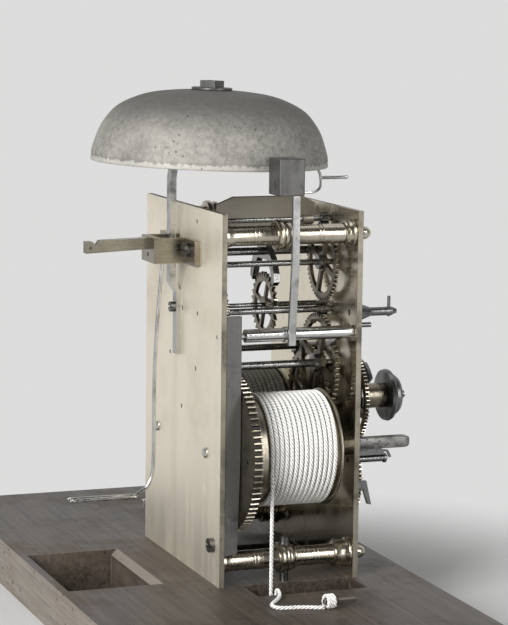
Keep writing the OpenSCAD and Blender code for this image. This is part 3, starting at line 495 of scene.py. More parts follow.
FINISHES = {
    "plate": Metal("plate_brass", (0.80, 0.735, 0.60), (0.66, 0.60, 0.48), (0.14, 0.26), stain_scale=26.0,
                   stain_reach=(0.46, 0.74), pit_scale=420.0, pit_amount=0.6, lines=(120.0, 120.0, 9.0),
                   line_depth=0.05),
    "satin": Metal("satin_brass", (0.84, 0.78, 0.655), (0.70, 0.645, 0.53), (0.36, 0.50), metallic=0.85,
                   stain_scale=22.0, stain_reach=(0.44, 0.74), pit_scale=420.0, pit_amount=0.6,
                   lines=(90.0, 90.0, 7.0), line_depth=0.06),
    "pillar": Metal("pillar_brass", (0.50, 0.455, 0.37), (0.30, 0.272, 0.22), (0.20, 0.30),
                    stain_scale=60.0, lines=(30.0, 1800.0, 30.0), line_depth=0.05),
    # Partly real, partly painted shade: the plates' edges are filed rougher, and their tone is painted much
    # darker for the shade on them.
    "edge": Metal("plate_edge_brass_shaded", (0.30, 0.272, 0.218), (0.13, 0.117, 0.092), (0.34, 0.52),
                  metallic=0.85, stain_scale=55.0, stain_reach=(0.40, 0.66), pit_amount=0.8,
                  line_depth=0.08),
    "cock": Metal("cock_brass", (0.30, 0.272, 0.215), (0.19, 0.172, 0.135), (0.22, 0.34),
                  stain_scale=50.0, line_depth=0.05),
    # Painted shade: the arbors' steel is a darker copy of the bright steel, for the shade inside the
    # movement.
    "arbor": Metal("arbor_steel_shaded", (0.31, 0.308, 0.30), (0.12, 0.117, 0.11), (0.16, 0.30),
                   stain_scale=80.0, lines=(60.0, 1600.0, 60.0), line_depth=0.06),
    # Painted shade: the wheels' brass is darkened for the shade on their faces inside the movement.
    "wheel": Metal("wheel_brass", (0.22, 0.198, 0.155), (0.08, 0.071, 0.055), (0.24, 0.42),
                   stain_scale=70.0, lines=(160.0, 700.0, 160.0), line_depth=0.08),
    "tip": Metal("tooth_tip_brass", (0.82, 0.755, 0.62), (0.62, 0.565, 0.45), (0.20, 0.34),
                 stain_scale=70.0),
    # Painted shade, near black, in the gaps between teeth; the tips keep the brass tone.
    "gap": Metal("tooth_gap_shade", (0.055, 0.048, 0.038), (0.03, 0.027, 0.022), (0.50, 0.65),
                 metallic=0.6, stain_scale=90.0),
    "drum": Metal("drum_brass", (0.42, 0.382, 0.31), (0.22, 0.198, 0.158), (0.22, 0.36),
                  stain_scale=60.0, lines=(40.0, 1500.0, 40.0), line_depth=0.06),
    "fly": Metal("fly_brass", (0.40, 0.37, 0.315), (0.24, 0.22, 0.185), (0.34, 0.50), stain_scale=45.0,
                 pit_scale=700.0, pit_amount=0.5, lines=(300.0, 40.0, 300.0)),
    "bright": Metal("bright_steel", (0.56, 0.56, 0.55), (0.26, 0.255, 0.245), (0.12, 0.26),
                    stain_scale=80.0, lines=(60.0, 1600.0, 60.0), line_depth=0.06),
    "strip": Metal("strip_steel", (0.44, 0.44, 0.43), (0.17, 0.17, 0.165), (0.22, 0.38), stain_scale=90.0,
                   pit_amount=0.8, lines=(300.0, 300.0, 60.0)),
    "square": Metal("square_steel", (0.25, 0.246, 0.235), (0.10, 0.096, 0.09), (0.34, 0.52),
                    stain_scale=160.0, pit_amount=1.5, lines=(300.0, 60.0, 300.0), pit_depth=1.0),
    "dark": Metal("dark_steel", (0.17, 0.17, 0.172), (0.075, 0.073, 0.07), (0.24, 0.42), stain_scale=90.0,
                  pit_scale=1100.0, pit_amount=0.8, lines=(90.0, 900.0, 90.0)),
    "iron": Metal("spring_iron", (0.15, 0.147, 0.14), (0.065, 0.062, 0.058), (0.42, 0.60), metallic=0.8,
                  stain_scale=60.0, pit_scale=1500.0, pit_amount=0.8, lines=(500.0, 500.0, 20.0),
                  line_depth=0.3),
    "head": Metal("hammer_steel", (0.125, 0.123, 0.119), (0.07, 0.068, 0.065), (0.36, 0.54),
                  metallic=0.85, stain_scale=130.0, pit_scale=2200.0, pit_amount=0.8,
                  lines=(400.0, 400.0, 60.0), pit_depth=0.9),
    "bell": BellMetal("bell_metal"),
    "board": StainedWood("board_wood"),
    "toggle": StainedWood("toggle_wood", (0.010, 0.009, 0.008), (0.032, 0.028, 0.025),
                          (0.12, 0.10, 0.085), False),
    "rope": Rope("laid_rope"),
}


# Mesh building

SAME_POINT = 2e-6  # points nearer than this, in metres, are one
FLAT = math.radians(0.6)  # faces that differ less are one face
CORNER = math.radians(30)  # edges that turn more are eased


def link_mesh(mesh: bpy.types.Mesh, finish: bpy.types.Material, sharp_deg: float) -> bpy.types.Object:
    """Put a mesh into the scene, smooth but for its sharp edges.

    Args:
        mesh: the mesh, whose name the object takes.
        finish: its material.
        sharp_deg: edges sharper than this stay crisp.

    Returns:
        The object.
    """
    mesh.materials.append(finish)
    mesh.shade_smooth()
    mesh.set_sharp_from_angle(angle=math.radians(sharp_deg))
    made = bpy.data.objects.new(mesh.name, mesh)
    bpy.context.scene.collection.objects.link(made)
    return made


def make_object(name: str, verts: Sequence[Point], faces: Sequence[Sequence[int]],
                finish: bpy.types.Material, sharp_deg: float = 35.0) -> bpy.types.Object:
    """Make a mesh object from points in metres.

    Args:
        name: the object's name.
        verts: its points.
        faces: its faces.
        finish: its material.
        sharp_deg: edges sharper than this stay crisp.

    Returns:
        The object, linked to the scene.
    """
    mesh = bpy.data.meshes.new(name)
    mesh.from_pydata([tuple(v) for v in verts], [], [tuple(int(i) for i in f) for f in faces])
    mesh.validate()
    return link_mesh(mesh, finish, sharp_deg)


@dataclass
class Shape:
    """Points and faces gathered for one mesh, and how deep in a rope's groove each point lies."""

    verts: list = field(default_factory=list)
    faces: list = field(default_factory=list)
    groove: list[float] = field(default_factory=list)

    def add(self, verts: Sequence[Point], faces: Sequence[Sequence[int]]) -> "Shape":
        """Append points and their faces.

        Args:
            verts: the points in metres.
            faces: the faces, counted from the first of these points.

        Returns:
            self.
        """
        base = len(self.verts)
        self.verts.extend(verts)
        self.faces.extend([[i + base for i in f] for f in faces])
        return self

    def add_turned(self, profile: Sequence[Point], place: Callable[[float, float, float], Point],
                   sides: int = 48) -> "Shape":
        """Add a turned body.

        Args:
            profile: [radius, height] along the outline, from end to end.
            place: maps (across 1, across 2, height) in mm to a point in metres.
            sides: faces round the axis.

        Returns:
            self.
        """
        verts, faces, rings = [], [], []
        for radius, height in profile:
            if radius < 1e-6:
                rings.append([len(verts)])
                verts.append(place(0.0, 0.0, height))
            else:
                rings.append(list(range(len(verts), len(verts) + sides)))
                verts.extend(place(radius * math.cos(t), radius * math.sin(t), height)
                             for t in (2 * math.pi * k / sides for k in range(sides)))
        for a, b in zip(rings, rings[1:]):
            for k in range(sides):
                n = (k + 1) % sides
                if len(a) == 1 and len(b) > 1:
                    faces.append([a[0], b[n], b[k]])
                elif len(b) == 1 and len(a) > 1:
                    faces.append([a[k], a[n], b[0]])
                elif len(a) > 1:
                    faces.append([a[k], a[n], b[n], b[k]])
        return self.add(verts, faces)

    def add_tube(self, path: np.ndarray, radius: float, sides: int = 12,
                 lay: Optional["Lay"] = None) -> "Shape":
        """Add a tube along a path.

        Args:
            path: points in mm.
            radius: the tube's radius in mm.
            sides: faces round it.
            lay: the twist of a laid rope, or None for a plain round wire.

        Returns:
            self.
        """
        rings = tube_rings(path, radius, sides, lay) * MM
        count = len(rings)
        reach = np.linalg.norm(rings - path[:, None, :] * MM, axis=2).ravel()
        self.groove.extend([0.0] * (len(self.verts) - len(self.groove)))
        # depth in a rope's groove, 1 at the bottom, which the rope's material reads for painted shade
        depth = (reach.max() - reach) / float(np.ptp(reach)) if lay else reach * 0
        self.groove.extend(depth.tolist())
        index = np.arange(count * sides).reshape(count, sides)
        nxt = np.roll(index, -1, axis=1)
        quads = np.stack([index[:-1], nxt[:-1], nxt[1:], index[1:]], axis=-1).reshape(-1, 4)
        ends = [list(index[0][::-1]), list(index[-1])]
        return self.add([tuple(p) for p in rings.reshape(-1, 3)], quads.tolist() + ends)

    def build(self, name: str, finish: bpy.types.Material, sharp_deg: float = 35.0) -> bpy.types.Object:
        """Make the object, with the groove depth of any rope stored on its points.

        Args:
            name: the piece's name.
            finish: its material.
            sharp_deg: edges sharper than this stay crisp.

        Returns:
            The object.
        """
        made = make_object(name, self.verts, self.faces, finish, sharp_deg)
        work = bmesh.new()
        work.from_mesh(made.data)
        bmesh.ops.recalc_face_normals(work, faces=work.faces)
        work.to_mesh(made.data)
        work.free()
        if self.groove:
            self.groove.extend([0.0] * (len(self.verts) - len(self.groove)))
            made.data.attributes.new("groove", "FLOAT", "POINT").data.foreach_set("value", self.groove)
        return made


@dataclass(frozen=True)
class Lay:
    """How a rope is laid: strands and the length of one full twist in mm."""

    strands: int = 3
    twist: float = 5.6


def even_path(points: np.ndarray, step: float) -> np.ndarray:
    """Space points evenly along a polyline.

    Args:
        points: the polyline.
        step: about how far apart the new points are.

    Returns:
        The new points.
    """
    legs = np.linalg.norm(np.diff(points, axis=0), axis=1)
    along = np.concatenate([[0.0], np.cumsum(legs)])
    want = np.linspace(0.0, along[-1], max(2, int(round(along[-1] / step)) + 1))
    return np.stack([np.interp(want, along, points[:, i]) for i in range(3)], axis=1)


def smooth_path(points: Sequence[Point], parts: int = 8) -> np.ndarray:
    """Draw a Catmull-Rom curve.

    Args:
        points: what it passes through.
        parts: steps between two of them.

    Returns:
        The curve's points.
    """
    given = np.array(points, float)
    padded = np.vstack([2 * given[0] - given[1], given, 2 * given[-1] - given[-2]])
    out = []
    for i in range(1, len(padded) - 2):
        p0, p1, p2, p3 = padded[i - 1:i + 3]
        for k in range(parts):
            t = k / parts
            out.append(0.5 * (2 * p1 + (p2 - p0) * t + (2 * p0 - 5 * p1 + 4 * p2 - p3) * t ** 2
                              + (3 * p1 - p0 - 3 * p2 + p3) * t ** 3))
    out.append(given[-1])
    return np.array(out)


def tube_rings(path: np.ndarray, radius: float, sides: int, lay: Optional[Lay]) -> np.ndarray:
    """Lay rings round a path, each turned on from the last without a kink.

    Args:
        path: the middle line in mm.
        radius: the tube's radius in mm.
        sides: points in a ring.
        lay: the twist of a laid rope, or None for a plain round wire.

    Returns:
        The points as an array of shape (rings, sides, 3), in mm.
    """
    tangent = np.gradient(path, axis=0)
    tangent /= np.linalg.norm(tangent, axis=1)[:, None]
    aside = np.cross(tangent[0], [0.31, 0.87, 0.12])  # any direction that no path starts along
    frames = [aside / np.linalg.norm(aside)]
    for t in tangent[1:]:
        u = frames[-1] - np.dot(frames[-1], t) * t
        frames.append(u / np.linalg.norm(u))
    u = np.array(frames)
    v = np.cross(tangent, u)
    legs = np.concatenate([[0.0], np.cumsum(np.linalg.norm(np.diff(path, axis=0), axis=1))])
    angle = np.arange(sides) * 2 * math.pi / sides
    reach = np.full(sides, radius)
    turn = np.zeros(len(path))
    if lay:
        part = 2 * math.pi / lay.strands
        local = (angle + part / 2) % part - part / 2
        strand, out = 0.464 * radius, 0.536 * radius
        reach = out * np.cos(local) + np.sqrt(np.maximum(strand ** 2 - (out * np.sin(local)) ** 2, 0.0))
        turn = -2 * math.pi * legs / lay.twist
    theta = angle[None, :] + turn[:, None]
    return (path[:, None, :] + reach[None, :, None]
            * (np.cos(theta)[..., None] * u[:, None, :] + np.sin(theta)[..., None] * v[:, None, :]))


def along_y(x: float, z: float) -> Callable[[float, float, float], Point]:
    """Return a placer for bodies turned about the Y line through x, z (mm)."""
    return lambda a, b, h: ((x + a) * MM, h * MM, (z + b) * MM)


def eased_copy(node: str, name: str, finish: bpy.types.Material, ease: float) -> bpy.types.Object:
    """Copy a CAD node with its sharp edges rounded, and let the copy stand for it.

    Args:
        node: the CAD node.
        name: the new piece's name.
        finish: its material.
        ease: the rounding in mm.

    Returns:
        The new piece, riding on the node's body.
    """
    source = bpy.data.objects[node]
    work = bmesh.new()
    work.from_mesh(source.data)
    bmesh.ops.remove_doubles(work, verts=work.verts, dist=SAME_POINT)
    bmesh.ops.dissolve_limit(work, angle_limit=FLAT, verts=work.verts, edges=work.edges)
    sharp = [e for e in work.edges if len(e.link_faces) == 2 and e.calc_face_angle(0.0) > CORNER]
    bmesh.ops.bevel(work, geom=sharp, offset=ease * MM, segments=2, profile=0.6, affect="EDGES",
                    clamp_overlap=True)
    bmesh.ops.recalc_face_normals(work, faces=work.faces)
    mesh = bpy.data.meshes.new(name)
    work.to_mesh(mesh)
    work.free()
    made = link_mesh(mesh, finish, 40)
    made.modifiers.new("even", "WEIGHTED_NORMAL").keep_sharp = True
    return settle(made, source["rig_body"], SLOT_OF[node], node)


def settle(piece: bpy.types.Object, body: str, slot: str, *nodes: str) -> bpy.types.Object:
    """Tie a finished piece to the frame and report it.

    Args:
        piece: the piece.
        body: the body it rides on.
        slot: the record's material slot of its finish; not used.
        nodes: the CAD nodes it stands for.

    Returns:
        The piece.
    """
    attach(piece, body)
    if nodes:
        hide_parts(*nodes)
    log.info("piece %s on %s", piece.name, body)
    return piece


SLOT_OF: dict[str, str] = {}  # material slot of each CAD node, filled from the record by main


# Sub-assemblies


@dataclass
class Studio:
    """Camera (its place in mm), floor, world and lamps (name, place in metres, size, watts)."""

    eye: Point = (-1053.1, 393.4, 297.6)
    azimuth: float = 249.433  # in degrees, from the dial side round
    elevation: float = 8.0
    roll: float = 0.678
    lens: float = 138.63
    middle: Point = (0.0, 0.0, 0.12)
    backdrop: Colour = (0.72, 0.72, 0.72 * 0.995)
    half_floor: float = 9.0
    lamps: Sequence[tuple[str, Point, tuple[float, float], float]] = (
        ("key", (-1.05, 1.45, 0.80), (0.7, 0.9), 48.0),
        ("side", (-1.3, -0.7, 0.5), (0.25, 0.9), 7.0),
        ("top", (0.1, -0.1, 1.6), (0.7, 0.7), 2.0),
    )

    def place_camera(self) -> bpy.types.Object:
        """Create the camera at the photograph's angle.

        Returns:
            The camera.
        """
        a, e, r = (math.radians(v) for v in (self.azimuth, self.elevation, self.roll))
        back = Vector((math.sin(a) * math.cos(e), -math.cos(a) * math.cos(e), math.sin(e)))
        right = Vector((math.cos(a), math.sin(a), 0.0))
        up = back.cross(right)
        turned_right = right * math.cos(r) + up * math.sin(r)
        turned_up = up * math.cos(r) - right * math.sin(r)
        data = bpy.data.cameras.new("camera")
        data.sensor_fit = "VERTICAL"
        data.sensor_height = 36.0
        data.lens = self.lens
        data.clip_start, data.clip_end = 0.05, 60.0
        camera = bpy.data.objects.new("camera", data)
        turn = Matrix((turned_right, turned_up, back)).transposed().to_4x4()
        camera.matrix_world = Matrix.Translation(Vector(self.eye) * MM) @ turn
        bpy.context.scene.collection.objects.link(camera)
        bpy.context.scene.camera = camera
        return camera

    def light(self) -> None:
        """Add the soft lamps, aimed at the middle: one over the camera's left, a strip, one above."""
        for name, place, size, power in self.lamps:
            data = bpy.data.lights.new(name, "AREA")
            data.shape = "RECTANGLE"
            data.size, data.size_y = size
            data.energy = power
            lamp = bpy.data.objects.new(name, data)
            lamp.location = place
            lamp.rotation_euler = (Vector(self.middle) - Vector(place)).to_track_quat("-Z", "Y").to_euler()
            bpy.context.scene.collection.objects.link(lamp)

    def build_world(self) -> None:
        """Make the world: a pale backdrop for the camera and a half-lit room for reflections."""
        world = bpy.data.worlds.new("studio")
        bpy.context.scene.world = world
        world.use_nodes = True
        wires = Wires(world.node_tree)
        ground = world.node_tree.nodes["Background"]
        path = wires.add("ShaderNodeLightPath")
        ray = wires.add("ShaderNodeTexCoord").outputs["Generated"]
        a = math.radians(self.azimuth)
        away = (-math.sin(a), math.cos(a), 0.25)
        side = wires.add("ShaderNodeVectorMath", {0: ray, 1: away}, operation="DOT_PRODUCT")
        lit = wires.remap(side.outputs["Value"], -0.1, 0.6)
        room = wires.mix(lit, (0.05, 0.05, 0.05), (0.74, 0.74, 0.735))
        shown = wires.mix(path.outputs["Is Glossy Ray"], (0.13, 0.13, 0.13), room)
        seen = wires.math("MAXIMUM", path.outputs["Is Camera Ray"], path.outputs["Is Transmission Ray"])
        wires.tree.links.new(wires.mix(seen, shown, self.backdrop), ground.inputs["Color"])

    def build_floor(self) -> None:
        """Make the pale floor, whose far part keeps one even tone."""
        half = self.half_floor
        material, wires, shader, at = new_material("floor_paper")
        wires.fill(shader, {"Base Color": (*self.backdrop, 1.0), "Roughness": 0.9})
        reach = wires.add("ShaderNodeVectorMath", {0: at}, operation="LENGTH")
        far = wires.remap(reach.outputs["Value"], 0.10, 0.27)
        path = wires.add("ShaderNodeLightPath")
        seen = wires.math("MAXIMUM", path.outputs["Is Camera Ray"], path.outputs["Is Glossy Ray"])
        glow = wires.add("ShaderNodeEmission", {"Color": (*self.backdrop, 1.0), "Strength": 1.0})
        blend = wires.add("ShaderNodeMixShader", {0: wires.product(far, seen), 1: shader.outputs[0],
                                                  2: glow.outputs[0]})
        wires.tree.links.new(blend.outputs[0], material.node_tree.nodes["Material Output"].inputs["Surface"])
        sheet = [(-half, -half, 0), (half, -half, 0), (half, half, 0), (-half, half, 0)]
        make_object("floor", sheet, [(0, 1, 2, 3)], material)


@dataclass
class LineWork:
    """The white lines: windings on the barrels, free stretches, knots and toggle."""

    finish: bpy.types.Material
    toggle_finish: bpy.types.Material
    radius: float = 0.95
    wound_r: float = 1.1  # the line's on the barrels, where its strands reach the next turn's
    rope_r: float = 25.23  # of the turns' middle
    strike_y: float = 11.0  # first turn and free stretch
    going_y: float = 7.2
    strike_x: float = -60.23  # free stretch
    going_x: float = 9.77
    slot_left: float = -72.7  # left edge of the strike line's slot
    toggle_at: tuple[float, float] = (-102.3, BOARD_T + 3.5)  # x and z
    toggle_r: float = 1.5
    lay: Lay = Lay()

    def rope(self, name: str, path: np.ndarray, radius: float) -> bpy.types.Object:
        """Return a laid rope along a path in mm, smooth all round."""
        return Shape().add_tube(path, radius, lay=self.lay).build(name, self.finish, 180)

    def winding(self, name: str, node: str, body: str, x: float, y: float) -> None:
        """Wind one barrel's line as a single unbroken laid rope.

        Args:
            name: the piece's name.
            node: the CAD node it stands for.
            body: the barrel it rides on.
            x: the barrel's axis in mm.
            y: where the first turn lies, in mm.
        """
        count = int(TURNS * 200)
        angle = np.pi - np.linspace(0, TURNS * 2 * np.pi, count)
        share = np.linspace(0, TURNS, count)
        path = np.stack([x + self.rope_r * np.cos(angle), y - share * PITCH,
                         BARREL_Z + self.rope_r * np.sin(angle)], axis=1)
        lead = path[0] - np.array([0, 0, 2 * self.radius])
        last = angle[-1]
        tail = path[-1] + 2 * self.radius * np.array([np.sin(last), 0, -np.cos(last)])
        path = even_path(np.vstack([lead, path, tail]), self.lay.twist / 9)
        settle(self.rope(name, path, self.wound_r), body, "rope", node)

    def strike_path(self) -> np.ndarray:
        """Draw the strike line's route, as the CAD holds it.

        Returns:
            Points in mm: down from the barrel, through the slot, up round its left edge and over
            the board to the toggle.
        """
        x, y, board = self.strike_x, self.strike_y, BOARD_T
        top = BARREL_Z - 2 * self.radius
        heights = [top, top - 4, board + 40, board + 20, board, board - 4]
        route = [[12, 0, -7.6], [10.1, 0.2, -11.2], [7.5, 0.4, -12.4], [4.9, 0.6, -11], [3.1, 0.9, -7.8],
                 [2.5, 1.2, -4], [2, 1.5, -1], [0.5, 1.9, 1.8], [-2.5, 2.4, 2.6], [-5.5, 2.9, 1.8],
                 [-9, 4.6, 1.2], [-13, 7.6, 1], [-17, 10.6, 1], [-21, 12.2, 1], [-24.2, 10.8, 1],
                 [-25.4, 7, 1], [-26, 2.6, 1], [-27.2, -1.6, 1], [-28.8, -5, 1], [-29.6, -7.4, 1],
                 [-29.6, -8.9, 1]]
        points = [[x, y, z] for z in heights]
        points += [[self.slot_left + p[0], y + p[1], board + p[2]] for p in route]
        return smooth_path(points)

    def free_line(self, name: str, node: str, path: np.ndarray, *held: bpy.types.Object) -> None:
        """Args:
            name: the piece's name.
            node: the CAD node it stands for.
            path: its middle line in mm, from the barrel to the knot.
            held: the knot and whatever else is on the line; not used.
        """
        fine = even_path(path, self.lay.twist / 10)
        piece = settle(self.rope(name, fine, self.radius), "frame", "rope", node)

    def knot_on_toggle(self) -> bpy.types.Object:
        """Tie the strike line round its toggle in close turns.

        Returns:
            The knot.
        """
        x, z = self.toggle_at
        angle = np.linspace(-np.pi / 2, 5.3 * np.pi, 170)
        ring = self.toggle_r + 0.05 + self.radius
        share = (angle - angle[0]) / (angle[-1] - angle[0])
        y = 1.7 - 3.9 * share
        path = np.stack([x + ring * np.cos(angle), y, z + ring * np.sin(angle)], axis=1)
        knot = self.rope("toggle_knot", even_path(path, 0.6), self.radius)
        return settle(knot, "frame", "rope", "line_knot")

    def toggle(self) -> bpy.types.Object:
        """Turn the small dark toggle that the knot holds, with eased ends.

        Returns:
            The toggle.
        """
        r = self.toggle_r
        profile = [[0, -13], [1, -13], [r - 0.05, -12.5], [r, -11], [r, 0.5], [r - 0.05, 2], [1, 2.5],
                   [0, 2.5]]
        shape = Shape().add_turned(profile, along_y(*self.toggle_at), 24)
        return settle(shape.build("toggle_stick", self.toggle_finish), "frame", "toggle_wood", "line_toggle")

    def stopper(self) -> bpy.types.Object:
        """Tie the knot under the going line, inside the board's slot.

        Returns:
            The knot.
        """
        angle = np.linspace(0, 5 * np.pi, 140)
        share = angle / angle[-1]
        path = np.stack([self.going_x + 1.5 * np.cos(angle), self.going_y + 1.5 * np.sin(angle),
                         BOARD_T - 12.6 - 3.4 * share], axis=1)
        return settle(self.rope("going_stopper", even_path(path, 0.6), self.radius), "frame", "rope")

    def build(self) -> None:
        """Make every line piece, the free cords first."""
        knot, stick, stop = self.knot_on_toggle(), self.toggle(), self.stopper()
        self.free_line("strike_rope", "strike_line", self.strike_path(), knot, stick)
        top = BARREL_Z - 2 * self.radius
        going = np.array([[self.going_x, self.going_y, z] for z in (top, BOARD_T - 16)])
        self.free_line("going_rope", "going_line", going, stop)
        self.winding("strike_rope_winding", "strike_winding", "strike_barrel", -BARREL_X, self.strike_y)
        self.winding("going_rope_winding", "going_winding", "going_barrel", BARREL_X, self.going_y)


@dataclass
class Bell:
    """The bell and the square nut that holds it."""

    finish: bpy.types.Material
    nut_finish: bpy.types.Material
    radius: float = 55.6
    height: float = 34.0
    wall: float = 2.0
    hole: float = 2.65
    outline: Sequence[Point] = (
        (1, 0), (0.993, 0.143), (0.968, 0.286), (0.928, 0.457), (0.872, 0.6), (0.791, 0.743), (0.665, 0.857),
        (0.504, 0.943), (0.288, 0.989), (0.1, 1.0))

    def place(self, a: float, b: float, h: float) -> Point:
        """Return the point in metres for a place in the bell's own frame in mm."""
        return tuple((Vector(BELL_AT) + BELL_TILT @ Vector((a, b, h))) * MM)

    def profile(self) -> list[Point]:
        """Draw the bell's section: outside, crown, inside and a rounded lip.

        Returns:
            [radius, height] in mm, as a closed line.
        """
        edge, top, wall = self.radius, self.height, self.wall
        outer = smooth_path([(r * edge, h * top, 0) for r, h in self.outline], 6)[:, :2]
        outer = np.minimum(outer, [edge, top])
        slope = np.gradient(outer, axis=0)
        slope /= np.linalg.norm(slope, axis=1)[:, None]
        inner = outer + wall * np.stack([-slope[:, 1], slope[:, 0]], axis=1)
        inner = inner[(inner[:, 1] > 1.0) & (inner[:, 0] > 3.2)]
        lip = [[edge - wall, 0.5], [edge - wall + 0.4, 0.05], [edge - 0.35, 0.0], [edge, 0.3],
               [edge, 1.3], [edge - 0.3, 2.0]]
        crown = [[self.hole, top], [self.hole, top - wall]]
        body = [p for p in outer.tolist() if p[1] > 2.6]
        return [*lip, *body, *crown, *inner[::-1].tolist(), lip[0]]

    def build(self) -> None:
        """Turn the bell and ease the nut."""
        piece = Shape().add_turned(self.profile(), self.place, 128).build("bell_cup", self.finish, 50)
        settle(piece, "frame", "bell_metal", "bell")
        eased_copy("bell_nut", "bell_square_nut", self.nut_finish, 0.35)


@dataclass
class Pillars:
    """Four turned pillars with knops, scribed rings and domed riveted ends."""

    finish: bpy.types.Material
    end_finish: bpy.types.Material
    reach_x: float = 47.7  # from the middle
    low_z: float = BOARD_T + 10.6
    high_z: float = BOARD_T + 159.4
    body_r: float = 4.5

    def _ring(self, y: float, radius: float) -> list[Point]:
        """Return the outline of one scribed ring at y."""
        deep = radius - 0.22
        return [[radius, y - 0.35], [deep, y - 0.1], [deep, y + 0.1], [radius, y + 0.35]]

    def _bead(self, start: float, end: float, low: float, high: float) -> list[Point]:
        """Draw a half-round bead.

        Args:
            start: where it starts along Y.
            end: where it ends.
            low: the radius at both ends.
            high: the radius in the middle.

        Returns:
            Its outline as [radius, y].
        """
        return [[low + (high - low) * math.sin(t), start + (end - start) * (1 - math.cos(t)) / 2]
                for t in (math.pi * i / 8 for i in range(9))]

    def profile(self, knop_y: float, front_len: float, front_r: float) -> list[Point]:
        """Draw one pillar from its front end to its back end.

        Args:
            knop_y: where the middle knop sits.
            front_len: length of the thick part at the front plate.
            front_r: its radius.

        Returns:
            The outline as [radius, y] in mm.
        """
        r, front, back = self.body_r, -PLATE_IN, PLATE_IN
        k = knop_y - 3.6
        shoulder = front + front_len
        out = [[0, -PLATE_OUT - 6], [0.8, -PLATE_OUT - 5.95], [1.6, -PLATE_OUT - 5.6],
               [2.5, -PLATE_OUT - 4.6], [2.9, -PLATE_OUT - 3.7], [3, -PLATE_OUT - 3], [3, front],
               [front_r - 0.3, front]]
        out += self._bead(front + 0.1, front + 1.5, front_r - 0.7, front_r)
        out += [[front_r - 0.95, front + 2.2], [front_r - 1.1, front + 0.5 * front_len],
                [front_r - 1, shoulder - 1.6], [front_r - 0.7, shoulder - 1],
                [front_r - 0.95, shoulder - 0.3], [r + 0.3, shoulder - 0.1], [r, shoulder + 0.2]]
        first = shoulder + 0.42 * (k - shoulder)
        out += self._ring(first, r) + self._ring(first + 1.6, r)
        out += [[r, k - 1.4], *self._bead(k - 1.2, k - 0.1, r + 0.3, r + 1)]
        out += self._bead(k + 0.2, k + 4.1, 5.3, 6.6)
        out += [[5.9, k + 4.3], [6.8, k + 4.5], [7, k + 4.8], [7, k + 6.6], [6.9, k + 6.95], [6.6, k + 7.15],
                [r + 0.1, k + 7.15], [r, k + 7.3]]
        middle = 0.5 * (k + 7.3 + back - 5)
        out += self._ring(middle - 0.8, r) + self._ring(middle + 0.8, r)
        out += [[r, back - 5], [4.7, back - 3.4], [5.0, back - 2.2], [5.2, back - 1.4], [5.2, back - 0.1],
                [5.1, back], [3, back], [3, PLATE_OUT], [0, PLATE_OUT]]
        return out

    def build(self) -> None:
        """Turn all four pillars into one piece."""
        shape = Shape()
        for x in (-self.reach_x, self.reach_x):
            for z, *sizes in ((self.low_z, 0.0, 8.0, 7.0), (self.high_z, 3.0, 5.2, 6.3)):
                shape.add_turned(self.profile(*sizes), along_y(x, z), 64)
        piece = shape.build("turned_pillars", self.finish, 40)
        piece.data.materials.append(self.end_finish)
        for face in piece.data.polygons:
            face.material_index = int(face.center.y > (PLATE_OUT - 0.1) * MM)
        settle(piece, "frame", "plate_brass", "pillars")


